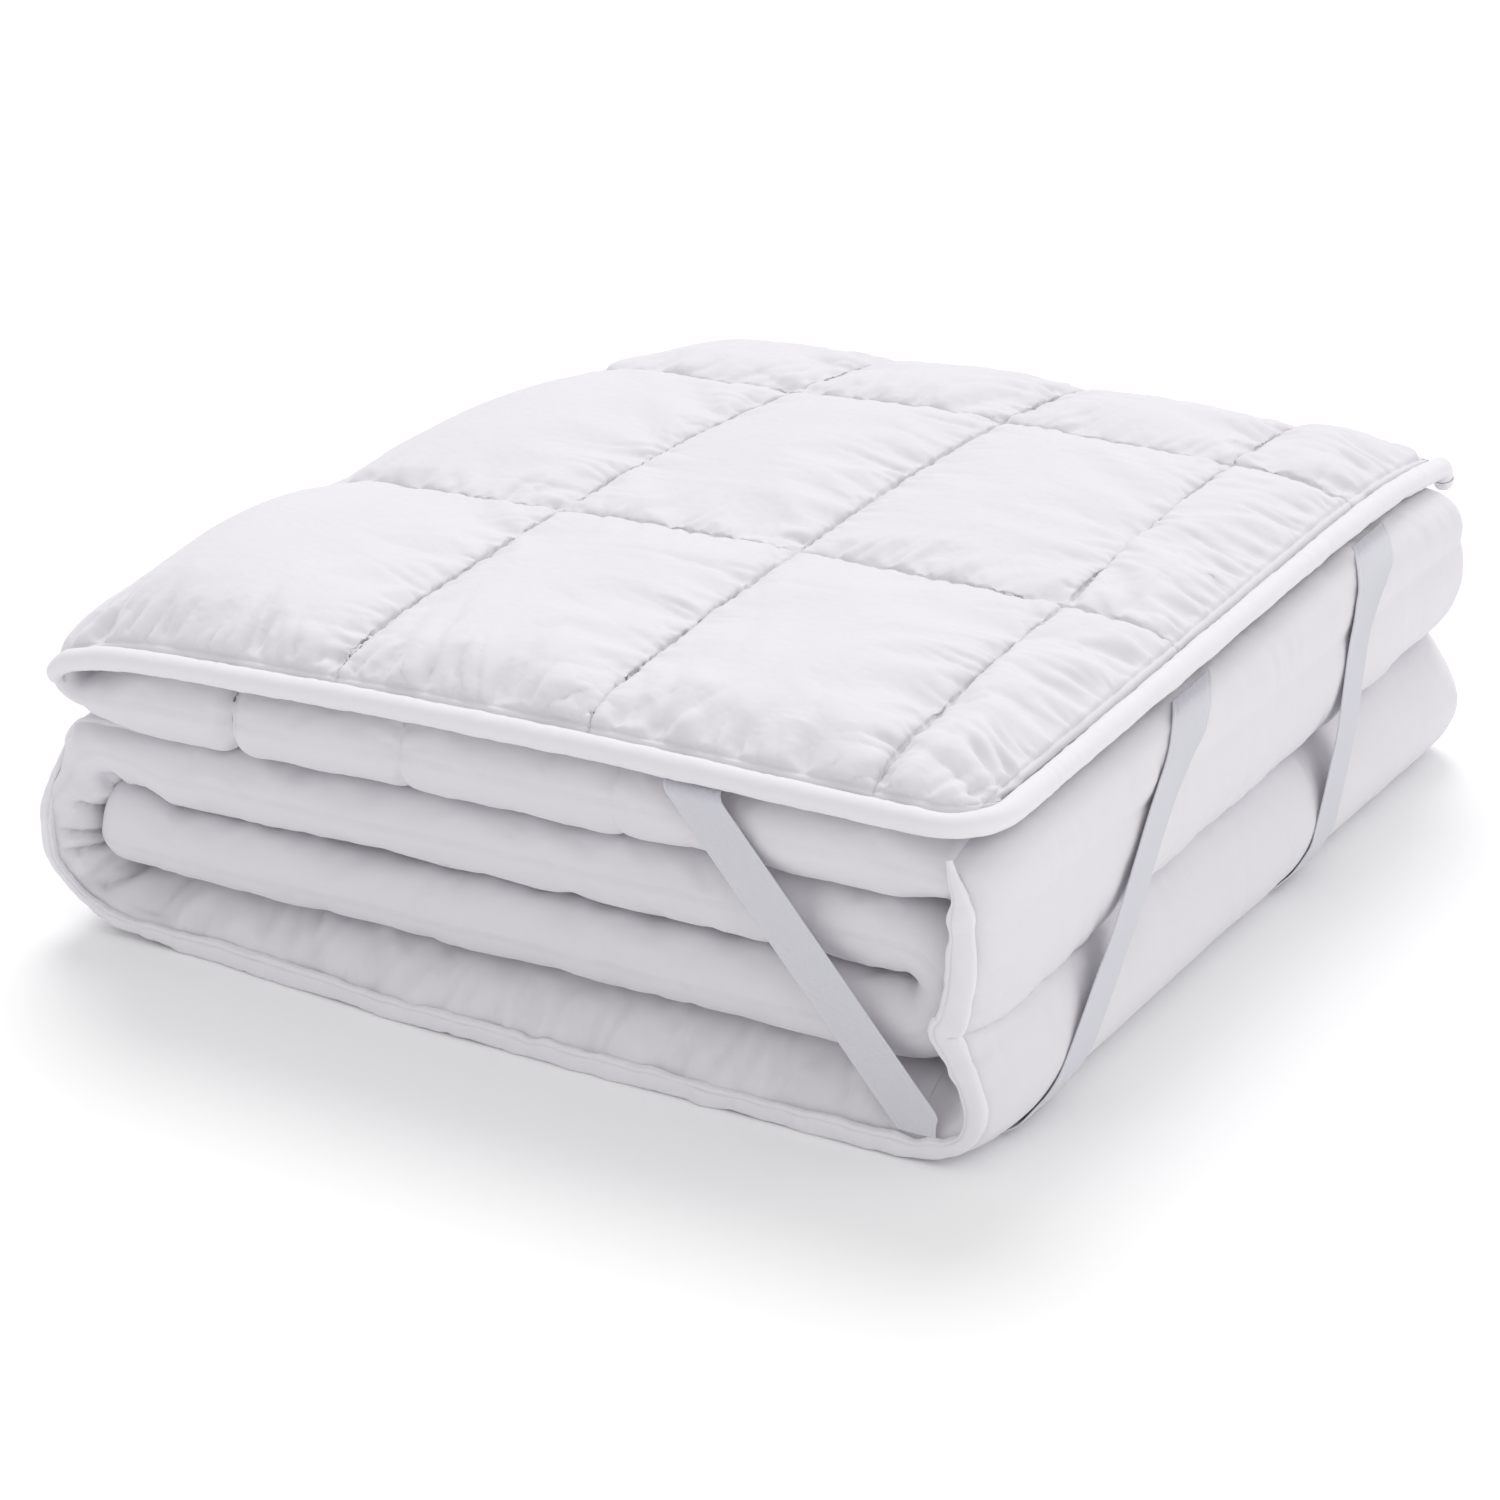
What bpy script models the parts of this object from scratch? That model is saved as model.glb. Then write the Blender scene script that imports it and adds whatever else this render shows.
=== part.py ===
"""A quilted mattress topper, folded into a square bundle and held by its corner elastics.

The topper is one long filled ply. Seen from the front it runs back and forth: along the top,
round the left fold, back under itself, down the right side, along the floor, up round the big
left fold, back again and round once more to its end. X is along the front edge, Y goes to the
back and Z is up. The plan is skewed a little, as the soft bundle lies.
"""

import math

import bmesh
import bpy
import numpy as np
from mathutils import Matrix, Vector
from mathutils.bvhtree import BVHTree

# Driving sizes, in metres. x is 0 near the right end of the top ply and y is 0 at the front.
DEPTH = 0.618            # from the front edge to the back folds
PLY_GAP = 0.0025         # between plies that lie on each other
TOP_RIGHT_X = 0.001      # where the top ply ends, behind its piping
LEFT_FOLD_X = -0.5465    # where the top ply starts to turn down
SIDE_X = 0.002           # middle of the ply that stands up the right side
HIDDEN_FOLD_X = -0.041   # where the third ply turns down inside the right side
BIG_FOLD_X = -0.5150     # where the floor ply starts to turn up
LAST_END_X = -0.5505     # where the last ply ends, inside the big fold
LAST_END_RADIUS = 0.018
LAST_END_ROUND = 0.015   # and its radius in plan
LAST_END_LEAST = 0.15    # share of its thickness that the last ply's end keeps
SIDE_TOP_RADIUS = 0.014
SIDE_FOOT_RADIUS = 0.021

# Half thicknesses to the quilted face and to the backing face, how far the front edge lies
# behind the front plane, the front edge's form (0 is a thin bound edge, 1 a round fold), how far
# a bound edge's middle lies towards the backing face, and the half width of the trim on it.
SECTIONS = {
    #               quilted backing setback form  edge     trim
    "top ply":     (0.0170, 0.0170, 0.0150, 0.0,  0.0085, 0.0070),
    "left fold":   (0.0175, 0.0130, 0.0120, 0.0,  0.0060, 0.0060),
    "second ply":  (0.0220, 0.0220, 0.0100, 1.0, -0.0020, 0.0080),
    "side top":    (0.0140, 0.0200, 0.0092, 0.2, -0.0020, 0.0083),
    "side":        (0.0140, 0.0180, 0.0092, 0.0, -0.0020, 0.0083),
    "side foot":   (0.0160, 0.0240, 0.0060, 0.0,  0.0120, 0.0055),
    "floor ply":   (0.0200, 0.0200, 0.0050, 0.0,  0.0135, 0.0065),
    "big fold":    (0.0130, 0.0140, 0.0060, 0.0,  0.0100, 0.0038),
    "third ply":   (0.0230, 0.0230, 0.0160, 1.0,  0.0222, 0.0030),
    "hidden fold": (0.0200, 0.0220, 0.0170, 1.0,  0.0100, 0.0070),
    "last ply":    (0.0230, 0.0240, 0.0130, 1.0,  0.0100, 0.0070),
}
QUILTED, BACKING, SETBACK, FORM, EDGE, TRIM = range(6)
# How far inside its ends a section has its own values, where that isn't 0.030: the third ply's
# round front starts on the big fold's shoulder.
OWN_FROM = {"third ply": -0.046}
OWN_UP_TO = {"big fold": 0.068}

# Quilting: seams across the top ply and up the bundle's depth.
SEAM_X = (-0.056, -0.222, -0.379, -0.548)
SEAM_Y = (0.254, 0.496)
SEAM_DROP = 0.0095       # how far a seam lies under the crown of its boxes
BOX_POWER = 0.45         # below 1 a box is flat in the middle and steep at its seams
EDGE_BOX_X = (0.004, -0.700)   # where the boxes at the right and at the left fold would end
EDGE_BOX_Y = (-0.030, 0.728)   # and those at the front and at the back
SIDE_SEAM_Z = 0.077      # the fold line that parts the right side into two swells
SIDE_DENT = (0.010, 0.020)  # how deep that line is at the front and at the back
SIDE_DENT_Z = (-0.010, 0.172)  # where the swells above and below it end
SIDE_DENT_RISE = 3.0     # the dent reaches its full depth a third of the way back
SIDE_SHOULDER = 0.0110   # how far the side's upper shoulder stands out
SHOULDER_BEFORE = 0.004  # the shoulder starts this far before the side's top turn
SHOULDER_LONG = 0.030    # and is this long, along the ply
LEFT_PUFF = (0.019, 0.009)  # how much fuller the two boxes at the left fold are
LEFT_PUFF_S = (0.42, 0.62)

# Bound edges.
EDGE_HALF = 0.0060       # half thickness of the ply at its bound edge
EDGE_RISE = 0.052        # how far in from a bound edge the ply reaches its full thickness
RISE_POWER = 2.4         # over 1 it rises steeply at first, as filled cloth does
END_THIN = 0.35          # share of EDGE_HALF that the top ply's right end starts at
BACK_ROUND = 0.030       # radius of the rounded back
CORNER_RADIUS = 0.026    # the top ply's corner, in plan
BINDING_DEEP = 0.0042    # half depth of the flat binding
BINDING_STOP = 0.060     # it ends this far before the end of the big fold
TRIM_GAP = 0.0004        # between a bound edge and its trim

# How the bundle has settled.
SKEW = 0.055             # sideways lean of the right side, per metre of depth
SKEW_LEFT = 0.1          # share of that lean that the rest has
SKEW_FROM_X = -0.05      # where the lean starts to grow to the right
SQUEEZE_X = (-0.20, -0.573)  # from where to where the two upper plies are pressed down
SQUEEZE = 0.27           # share of height that they lose there
SQUEEZE_POWER = 1.7
SQUEEZE_BASE_Z = 0.140   # where the two upper plies start
SLOPE = 0.035            # share of height that they lose evenly, over SLOPE_LONG
SLOPE_LONG = 0.50
SINK = 0.095             # share of height, over SINK_FROM_Z, that the plies under them lose at the left
SINK_FROM_Z = 0.013
SINK_POWER = 1.3
SINK_KEPT = 2.24         # the upper plies take that height up again
SHOULDER = 0.018         # how much squarer the big fold is at its upper shoulder, to the left
SHOULDER_RISE = 0.010    # and upwards
SHOULDER_X = (-0.50, -0.58)
SHOULDER_Z = (0.070, 0.138)
LOW_SHOULDER = 0.009     # and how much squarer it is at its foot
LOW_SHOULDER_Z = 0.055
FLOOR_BACK = 0.012       # how far the floor ply's front edge stands back at the left
FLOOR_BACK_X = (-0.33, -0.47)
FLOOR_BACK_Z = 0.05
PINCH_FROM_X = -0.500    # the left fold narrows to its tip from here
PINCH_LONG = 0.075
PINCH_Z = 0.142
PINCH = 0.42
PINCH_UNDER = 0.3        # share of it that the underside of the fold has
BACK_DROP = 0.26         # share of height that the upper plies lose at the back
BACK_DROP_FROM_Y = 0.40
BACK_SWELL = 0.018       # the right side's extra swell at the back
BACK_SWELL_POWER = 1.3
DRAWN_IN = 0.080         # how far the back left corner is drawn in to the right
DRAWN_FROM_Y = 0.200     # where that starts, from front to back
DRAWN_LONG = 0.55        # and how far from the right end it is whole
DRAWN_POWER = 1.5

# Corner elastics.
STRAP_WIDE = 0.026
STRAP_THICK = 0.0012
STRAP_OFF = 0.0022       # between a side strap's middle and the cloth that it lies on
FRONT_STRAP_Y = 0.0042
FRONT_STRAP = ((-0.1590, 0.1895), (-0.0155, 0.0155))  # its middle line's ends, as (x, z)
FRONT_STRAP_TOP = ((0.1862, 0.0135), (0.1852, 0.0085), (0.1825, 0.0050), (0.1780, FRONT_STRAP_Y))  # (z, y)
FRONT_STRAP_HEIGHTS = (0.14, 0.10, 0.07, 0.045)
FRONT_STRAP_FLOOR_Z = 0.0158   # it ends at the binding on the floor ply
FRONT_STRAP_SIDE_X = -0.0105   # and at the binding on the side
SIDE_STRAPS = {
    # y of the middle line's top and foot, and how far it bows forward between them
    "strap_side_front": (0.262, 0.062, 0.029),
    "strap_side_back": (0.505, 0.380, 0.037),
}
SIDE_STRAP_ENDS = (0.004, 0.188)  # heights of the foot and the top
SIDE_STRAP_MOST_LEAN = 1.6
SIDE_STRAP_TOP_X = 0.014  # where its upper end lies, under the piping
# Where a side strap is laid on the cloth: the heights of its stations and how steeply each is
# pressed down, from the shoulder under the piping to the foot.
SIDE_STRAP_HEIGHTS = (
    0.170, 0.164, 0.155, 0.140, 0.120, 0.100, 0.085, 0.070, 0.055, 0.040, 0.030, 0.022, 0.015, 0.009, 0.0055,
)
SIDE_STRAP_STATIONS = ((0.183, 1.1), (0.1765, 0.3), *((z, 0.0) for z in SIDE_STRAP_HEIGHTS))
RAY_START = 0.3          # how far off the cloth each ray starts

# The piping: the heights under its level and the places behind the back where it turns down, and
# how its end thins at the left fold.
PIPING_TAIL = ((0.022, 0.0), (0.013, 0.0), (0.005, 0.003))
PIPING_END = (0.55, 0.15)  # share of its radius at the last ring, and what each ring before it adds
PIPING_FOLD_SHARE = 0.8  # how far round the left fold it goes

# Where the rings and their points stand.
END_RINGS = (0.0, 0.002, 0.005, 0.010, 0.017, 0.028, 0.040)
LAST_RINGS = (0.018, 0.012, 0.007, 0.0025, 0.0)
SEAM_RINGS = 0.008       # rings this far either side of a seam
BOX_RINGS = 0.030        # and this far inside a box
SIDE_HEIGHTS = (0.140, 0.125, 0.110, 0.096, 0.086, 0.081, 0.077, 0.073, 0.068, 0.058, 0.048)
RINGS = {"left fold": 7, "second ply": 9, "side top": 5, "side foot": 5, "floor ply": 8, "big fold": 10,
         "third ply": 8, "hidden fold": 6, "last ply": 8}
FRONT_POINTS = (0.25 * EDGE_HALF, EDGE_HALF, 0.012, 0.026, 0.048)
SEAM_POINTS = (-0.045, -0.009, 0.0, 0.009, 0.045)
BACK_POINTS = (0.030, 0.016, 0.006, 0.001)

COLOURS = {"shell": (0.88, 0.87, 0.89, 1), "piping": (0.90, 0.90, 0.91, 1), "elastic": (0.82, 0.82, 0.86, 1)}


def level_of_plies():
    """Heights of the middles of the floor, last, third, second and top plies."""
    floor = SECTIONS["floor ply"][BACKING]
    last = floor + SECTIONS["floor ply"][QUILTED] + PLY_GAP + SECTIONS["last ply"][BACKING]
    third = last + SECTIONS["last ply"][QUILTED] + PLY_GAP + SECTIONS["third ply"][QUILTED]
    second = third + SECTIONS["third ply"][BACKING] + PLY_GAP + SECTIONS["second ply"][QUILTED]
    top = second + SECTIONS["second ply"][BACKING] + PLY_GAP + SECTIONS["top ply"][BACKING]
    return floor, last, third, second, top


FLOOR_Z, LAST_Z, THIRD_Z, SECOND_Z, TOP_Z = level_of_plies()


def path_pieces():
    """The ply's middle line as runs and turns: (section, start, heading, length, turn)."""
    left, big, hidden = (TOP_Z - SECOND_Z) / 2, (THIRD_Z - FLOOR_Z) / 2, (THIRD_Z - LAST_Z) / 2
    turns = {"left fold": left, "side top": -SIDE_TOP_RADIUS, "side foot": -SIDE_FOOT_RADIUS,
             "big fold": -big, "hidden fold": -hidden}
    runs = {
        "top ply": TOP_RIGHT_X - LEFT_FOLD_X,
        "second ply": SIDE_X - SIDE_TOP_RADIUS - LEFT_FOLD_X,
        "side": SECOND_Z - SIDE_TOP_RADIUS - FLOOR_Z - SIDE_FOOT_RADIUS,
        "floor ply": SIDE_X - SIDE_FOOT_RADIUS - BIG_FOLD_X,
        "third ply": HIDDEN_FOLD_X - BIG_FOLD_X,
        "last ply": HIDDEN_FOLD_X - LAST_END_X,
    }
    angles = {"left fold": math.pi, "side top": math.pi / 2, "side foot": math.pi / 2,
              "big fold": math.pi, "hidden fold": math.pi}
    pieces, at, heading = [], np.array([TOP_RIGHT_X, TOP_Z]), math.pi
    for name in SECTIONS:
        radius = turns.get(name, 0.0)
        length = angles[name] * abs(radius) if radius else runs[name]
        pieces.append((name, at, heading, length, radius))
        at, heading = along(at, heading, radius, length)
    return pieces


def along(at, heading, radius, length):
    """Where a run (radius 0) or a turn (radius positive to the left) gets to, and its heading."""
    if not radius:
        return at + length * np.array([math.cos(heading), math.sin(heading)]), heading
    turned = heading + length / radius
    across = np.array([math.sin(turned) - math.sin(heading), math.cos(heading) - math.cos(turned)])
    return at + radius * across, turned


PIECES = path_pieces()
STARTS = np.concatenate([[0.0], np.cumsum([p[3] for p in PIECES])])
TOTAL = STARTS[-1]


def at_s(s):
    """(x, z) of the middle line and the direction to the quilted face, at the length s."""
    i = min(int(np.searchsorted(STARTS, s, side="right")) - 1, len(PIECES) - 1)
    name, at, heading, length, radius = PIECES[i]
    place, turned = along(at, heading, radius, s - STARTS[i])
    return place, np.array([math.sin(turned), -math.cos(turned)])


def value_at(s, column):
    """A column of SECTIONS along the ply, eased from each section to the next."""
    middles, values = [], []
    for (name, _, _, length, _), start in zip(PIECES, STARTS):
        inset = min(0.030, length * 0.45)
        middles += [start + OWN_FROM.get(name, inset), start + length - OWN_UP_TO.get(name, inset)]
        values += [SECTIONS[name][column]] * 2
    return float(np.interp(s, middles, values))


def section_range(name):
    """Where a section starts and ends, along the ply."""
    i = list(SECTIONS).index(name)
    return STARTS[i], STARTS[i + 1]


def part_way(value, ends):
    """0 at the first end, 1 at the second and level outside them."""
    return min(max((value - ends[0]) / (ends[1] - ends[0]), 0.0), 1.0)


def ease(w):
    """0 to 1 as w goes from 0 to 1, steep at first, as filled cloth rises from an edge."""
    w = min(max(w, 0.0), 1.0)
    return 1 - (1 - w) ** RISE_POWER


def nose(w):
    """The quarter circle that rounds an edge."""
    w = min(max(w, 0.0), 1.0)
    return math.sqrt(1 - (1 - w) ** 2)


def pillow(t, places):
    """0 at a seam and 1 in the middle of a box, along one direction."""
    i = int(np.clip(np.searchsorted(places, t) - 1, 0, len(places) - 2))
    w = (t - places[i]) / (places[i + 1] - places[i])
    return max(0.0, math.sin(math.pi * min(max(w, 0.0), 1.0))) ** BOX_POWER


def quilting(x, y):
    """How far the top ply's face lies under the crown of its boxes."""
    across, deep = sorted([*EDGE_BOX_X, *SEAM_X]), sorted([*EDGE_BOX_Y, *SEAM_Y])
    return SEAM_DROP * (1 - pillow(x, across) * pillow(y, deep))


def front_edge(s):
    """How far back the ply's front edge lies. Both ends of the ply are round in plan."""
    back = value_at(s, SETBACK)
    for radius, at in ((CORNER_RADIUS, s), (LAST_END_ROUND, TOTAL - s)):
        d = max(0.0, radius - at)
        back += radius - math.sqrt(max(0.0, radius**2 - d**2))
    return back


def backing_at(s, y):
    """Half thickness to the backing face, with the right side's swells and the line between them."""
    backing = value_at(s, BACKING)
    start = section_range("side top")[0] - SHOULDER_BEFORE
    backing += SIDE_SHOULDER * math.sin(math.pi * min(max((s - start) / SHOULDER_LONG, 0.0), 1.0)) ** 2
    if section_range("side top")[0] < s < section_range("side foot")[1]:
        (_, z), towards = at_s(s)
        back = y / DEPTH
        swell = pillow(z, [SIDE_DENT_Z[0], SIDE_SEAM_Z, SIDE_DENT_Z[1]])
        near, far = SIDE_DENT
        backing -= (near + (far - near) * min(1.0, SIDE_DENT_RISE * back)) * (1 - swell)
        backing += BACK_SWELL * swell * back**BACK_SWELL_POWER * max(0.0, -towards[0])
    return backing


def edge_middle(s):
    """How far the bound edge lies from the ply's middle, towards the quilted face."""
    return value_at(s, BACKING) - backing_at(s, 0.0) - value_at(s, EDGE)


def half_faces(s, y_front, y):
    """Half thicknesses to the quilted and backing faces at a place on the ply."""
    quilted, backing, form = value_at(s, QUILTED), backing_at(s, y), value_at(s, FORM)
    front, back, end, tail = y - y_front, DEPTH - y, s, TOTAL - s
    if s < section_range("left fold")[1]:
        quilted -= quilting(at_s(s)[0][0], y)
    bulge = math.sin(math.pi * part_way(s, LEFT_PUFF_S)) ** 2
    for puff, ends in zip(LEFT_PUFF, ((0.0, SEAM_Y[0]), SEAM_Y)):
        quilted += puff * bulge * math.sin(math.pi * part_way(y, ends))
    middle = edge_middle(s) * (1 - form)
    edge, rise = EDGE_HALF * nose(front / EDGE_HALF), ease(front / EDGE_RISE)
    faces = []
    for sign, full in ((1, quilted), (-1, backing)):
        thin = middle + sign * (edge + max(0.0, full - sign * middle - EDGE_HALF) * rise)
        faces.append(form * sign * full * nose(front / full) + (1 - form) * thin)
    shrink = nose(back / BACK_ROUND)
    faces = [f * shrink for f in faces]
    if end < EDGE_RISE:
        thick = EDGE_HALF * (END_THIN + (1 - END_THIN) * nose(end / EDGE_HALF))
        rise = ease(end / EDGE_RISE)
        low = -value_at(0.0, EDGE)
        top_face, under = low + min(thick, faces[0] - low), low + max(-thick, faces[1] - low)
        faces = [top_face + (faces[0] - top_face) * rise, under + (faces[1] - under) * rise]
    if tail < LAST_END_RADIUS:
        faces = [f * max(LAST_END_LEAST, nose(tail / LAST_END_RADIUS)) for f in faces]
    return faces


def settle(x, y, z):
    """A place in the neat stack, moved to where the settled bundle has it."""
    near, far = SQUEEZE_X
    squeezed = min(max((near - x) / (near - far), 0.0), 1.1) ** SQUEEZE_POWER
    left = part_way(x, (0.0, -SLOPE_LONG))
    sunk = SINK * left**SINK_POWER
    share = SQUEEZE * squeezed + SLOPE * left - SINK_KEPT * sunk
    low = min(z, SQUEEZE_BASE_Z)
    back = part_way(y, (BACK_DROP_FROM_Y, DEPTH))
    settled_z = low - sunk * max(0.0, low - SINK_FROM_Z) + (z - low) * (1 - share) * (1 - BACK_DROP * back**3)
    if z > SQUEEZE_BASE_Z:
        pinch = PINCH * min(max((PINCH_FROM_X - x) / PINCH_LONG, 0.0), 1.2) ** 2
        settled_z += (PINCH_Z - settled_z) * pinch * (1.0 if settled_z > PINCH_Z else PINCH_UNDER)
        square = 0.0
    else:
        square = part_way(z, SHOULDER_Z)
    round_fold = part_way(x, SHOULDER_X)
    settled_z += SHOULDER_RISE * 16 * round_fold * (1 - round_fold) * square * (1 - square)
    lean = SKEW_LEFT + (1 - SKEW_LEFT) * min(max(1 - x / SKEW_FROM_X, 0.0), 1.0)
    back = max(0.0, y - DRAWN_FROM_Y) / (DEPTH - DRAWN_FROM_Y)
    drawn = DRAWN_IN * min(max(-x / DRAWN_LONG, 0.0), 1.0) * back**DRAWN_POWER
    outwards = SHOULDER * square + LOW_SHOULDER * part_way(z, (LOW_SHOULDER_Z, 0.0))
    moved_x = x + SKEW * lean * y + drawn - outwards * math.sin(math.pi * round_fold)
    share = part_way(moved_x, FLOOR_BACK_X) * part_way(z, (FLOOR_BACK_Z, 0.0)) * part_way(y, (DEPTH, 0.0))
    return Vector((moved_x, y + FLOOR_BACK * share, max(settled_z, 0.0)))


def stations_s():
    """Where the rings stand along the ply: close at seams and folds, wide on plain runs."""
    def spread(name, steps):
        low, high = section_range(name)
        return [low + (high - low) * (k + 0.5) / steps for k in range(steps)]

    seams = [TOP_RIGHT_X - x for x in SEAM_X]
    found = list(END_RINGS)
    for seam, following in zip(seams, [*seams[1:], None]):
        found += [seam - SEAM_RINGS, seam, seam + SEAM_RINGS]
        if following:
            found += [seam + BOX_RINGS, (seam + following) / 2, following - BOX_RINGS]
    found = [s for s in found if s < section_range("left fold")[0] - 0.002]
    for name, steps in RINGS.items():
        found += spread(name, steps)
    top_z, low = SECOND_Z - SIDE_TOP_RADIUS, section_range("side")[0]
    found += [low + top_z - z for z in SIDE_HEIGHTS]
    found.sort()
    return found + [TOTAL - d for d in LAST_RINGS]


def stations_y(y_front):
    """Where a ring's points stand from front to back."""
    found = [y_front] + [y_front + d for d in FRONT_POINTS]
    for before, seam in zip((0.0, *SEAM_Y), SEAM_Y):
        found += [(before + seam) / 2] + [seam + d for d in SEAM_POINTS]
    return found + [DEPTH - d for d in BACK_POINTS]


def ring(s):
    """One closed ring of points round the ply, at the length s."""
    (x, z), towards = at_s(s)
    y_front = front_edge(s)
    upper, lower = [], []
    for y in stations_y(y_front):
        faces = half_faces(s, y_front, y)
        for side, n in zip((upper, lower), faces):
            side.append(settle(x + towards[0] * n, y, z + towards[1] * n))
    meet = (upper[0] + lower[0]) / 2
    return [meet] + upper[1:] + lower[:0:-1]


def make_object(name, mesh, colour, roughness, collection):
    """A named object with its own plain material, shaded smooth."""
    thing = bpy.data.objects.new(name, mesh)
    collection.objects.link(thing)
    material = bpy.data.materials.new(name)
    material.use_nodes = True
    shader = material.node_tree.nodes["Principled BSDF"]
    shader.inputs["Base Color"].default_value = colour
    shader.inputs["Roughness"].default_value = roughness
    shader.inputs["Metallic"].default_value = 0.0
    mesh.materials.append(material)
    return thing


def loft(rings):
    """A closed mesh through the rings, with a flat cap at each end."""
    bm = bmesh.new()
    rows = [[bm.verts.new(p) for p in ring_points] for ring_points in rings]
    count = len(rows[0])
    for a, b in zip(rows, rows[1:]):
        for k in range(count):
            bm.faces.new((a[k], a[(k + 1) % count], b[(k + 1) % count], b[k]))
    half = count // 2
    for row in (rows[0], rows[-1]):
        for k in range(half):
            corners = [row[k], row[k + 1], row[count - k - 1], row[(count - k) % count]]
            bm.faces.new(list(dict.fromkeys(corners)))
    bmesh.ops.recalc_face_normals(bm, faces=bm.faces)
    mesh = bpy.data.meshes.new("loft")
    bm.to_mesh(mesh)
    bm.free()
    mesh.shade_smooth()
    return mesh


def tube(path, across, wide, deep, count=10):
    """A closed mesh round a path. Its section is an ellipse: `wide` along `across`, else `deep`."""
    rings = []
    for k, at in enumerate(path):
        before, after = path[max(k - 1, 0)], path[min(k + 1, len(path) - 1)]
        forward = (after - before).normalized()
        side = (across[k] - forward * across[k].dot(forward)).normalized()
        up = forward.cross(side)
        turns = [2 * math.pi * i / count for i in range(count)]
        rings.append([at + side * wide[k] * math.cos(t) + up * deep[k] * math.sin(t) for t in turns])
    return loft(rings)


def ribbon(lefts, rights):
    """A closed flat band between two edge lines, as thick as the elastic."""
    rings = []
    for k, (left, right) in enumerate(zip(lefts, rights)):
        a, b = max(k - 1, 0), min(k + 1, len(lefts) - 1)
        forward = lefts[b] + rights[b] - lefts[a] - rights[a]
        off = forward.cross(right - left).normalized() * (STRAP_THICK / 2)
        rings.append([left + off, right + off, right - off, left - off])
    return loft(rings)


def bound_line(lengths, y_less):
    """The trim's middle line along the ply's bound edge, and the direction across the ply there."""
    path, across = [], []
    for s in lengths:
        (x, z), towards = at_s(s)
        n = edge_middle(s)
        path.append(settle(x + towards[0] * n, front_edge(s) - y_less, z + towards[1] * n))
        across.append(Vector((towards[0], 0.0, towards[1])))
    return path, across


def build_piping(collection):
    """Round piping: down at the back, along the right edge, round the corner and along the front."""
    away = SECTIONS["top ply"][TRIM] + TRIM_GAP
    x, z = TOP_RIGHT_X + away, TOP_Z - SECTIONS["top ply"][EDGE]
    path = [settle(x, DEPTH + away - nearer, z - lower) for lower, nearer in PIPING_TAIL]
    path.append(settle(x, DEPTH, z))
    path += [settle(x, y, z) for y in np.linspace(DEPTH - 0.012, 0.060, 10)]
    turn = CORNER_RADIUS + away
    centre_x, centre_y = TOP_RIGHT_X - CORNER_RADIUS, SECTIONS["top ply"][SETBACK] + CORNER_RADIUS
    for a in np.linspace(0.0, math.pi / 2, 7):
        path.append(settle(centre_x + turn * math.cos(a), centre_y - turn * math.sin(a), z))
    low, high = section_range("left fold")
    fold = np.linspace(low, low + PIPING_FOLD_SHARE * (high - low), 7)
    lengths = [*np.linspace(CORNER_RADIUS + 0.03, low - 0.02, 14), *fold]
    path += bound_line(lengths, away)[0]
    across = [Vector((1.0, 0.0, 0.0))] * 4
    for before, after in zip(path[3:], path[5:]):
        across.append(Vector((before.y - after.y, after.x - before.x, 0.0)))
    across += [across[-1]] * (len(path) - len(across))
    least, more = PIPING_END
    full = SECTIONS["top ply"][TRIM]
    radii = [full * min(1.0, least + more * (len(path) - 1 - k)) for k in range(len(path))]
    return make_object("piping", tube(path, across, radii, radii), COLOURS["piping"], 0.7, collection)


def build_binding(collection):
    """Flat binding down the side, along the floor and up round the big fold."""
    low, high = section_range("side top")[0] + 0.012, section_range("big fold")[1] - BINDING_STOP
    lengths = [*[s for s in stations_s() if low < s < high - 0.004], high]
    path, across = bound_line(lengths, BINDING_DEEP + TRIM_GAP)
    mesh = tube(path, across, [value_at(s, TRIM) for s in lengths], [BINDING_DEEP] * len(path))
    return make_object("edge_binding", mesh, COLOURS["piping"], 0.7, collection)


def build_front_strap(collection):
    """The elastic that slants down the front, from under the piping into the bottom corner."""
    (x0, z0), (x1, z1) = FRONT_STRAP
    along_x, along_z = (v / math.hypot(x1 - x0, z1 - z0) for v in (x1 - x0, z1 - z0))
    side_x, side_z = -along_z * STRAP_WIDE / 2, along_x * STRAP_WIDE / 2
    lefts, rights = [], []
    for z, y in (*FRONT_STRAP_TOP, *((h, FRONT_STRAP_Y) for h in FRONT_STRAP_HEIGHTS)):
        for edge, sign in ((lefts, -1), (rights, 1)):
            start_x, start_z = x0 + sign * side_x, z0 + sign * side_z
            edge.append(Vector((start_x + (z - start_z) * along_x / along_z, y, z)))
    stop_z = rights[-1].z + (FRONT_STRAP_SIDE_X - rights[-1].x) * along_z / along_x
    for share in (0.0, 0.5, 1.0):
        z = stop_z + (FRONT_STRAP_FLOOR_Z - stop_z) * share
        rights.append(Vector((FRONT_STRAP_SIDE_X, FRONT_STRAP_Y, z)))
        lefts.append(lefts[-1] + Vector(((z - lefts[-1].z) * along_x / along_z, 0.0, z - lefts[-1].z)))
    return make_object("strap_front", ribbon(lefts, rights), COLOURS["elastic"], 0.6, collection)


def taut(places, values):
    """The values raised to their upper hull, as a taut strap bridges a hollow."""
    raised = list(values)
    for i, at in enumerate(places):
        for a in range(i):
            for b in range(i + 1, len(places)):
                w = (at - places[a]) / (places[b] - places[a])
                raised[i] = max(raised[i], values[a] + (values[b] - values[a]) * w)
    return raised


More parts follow.
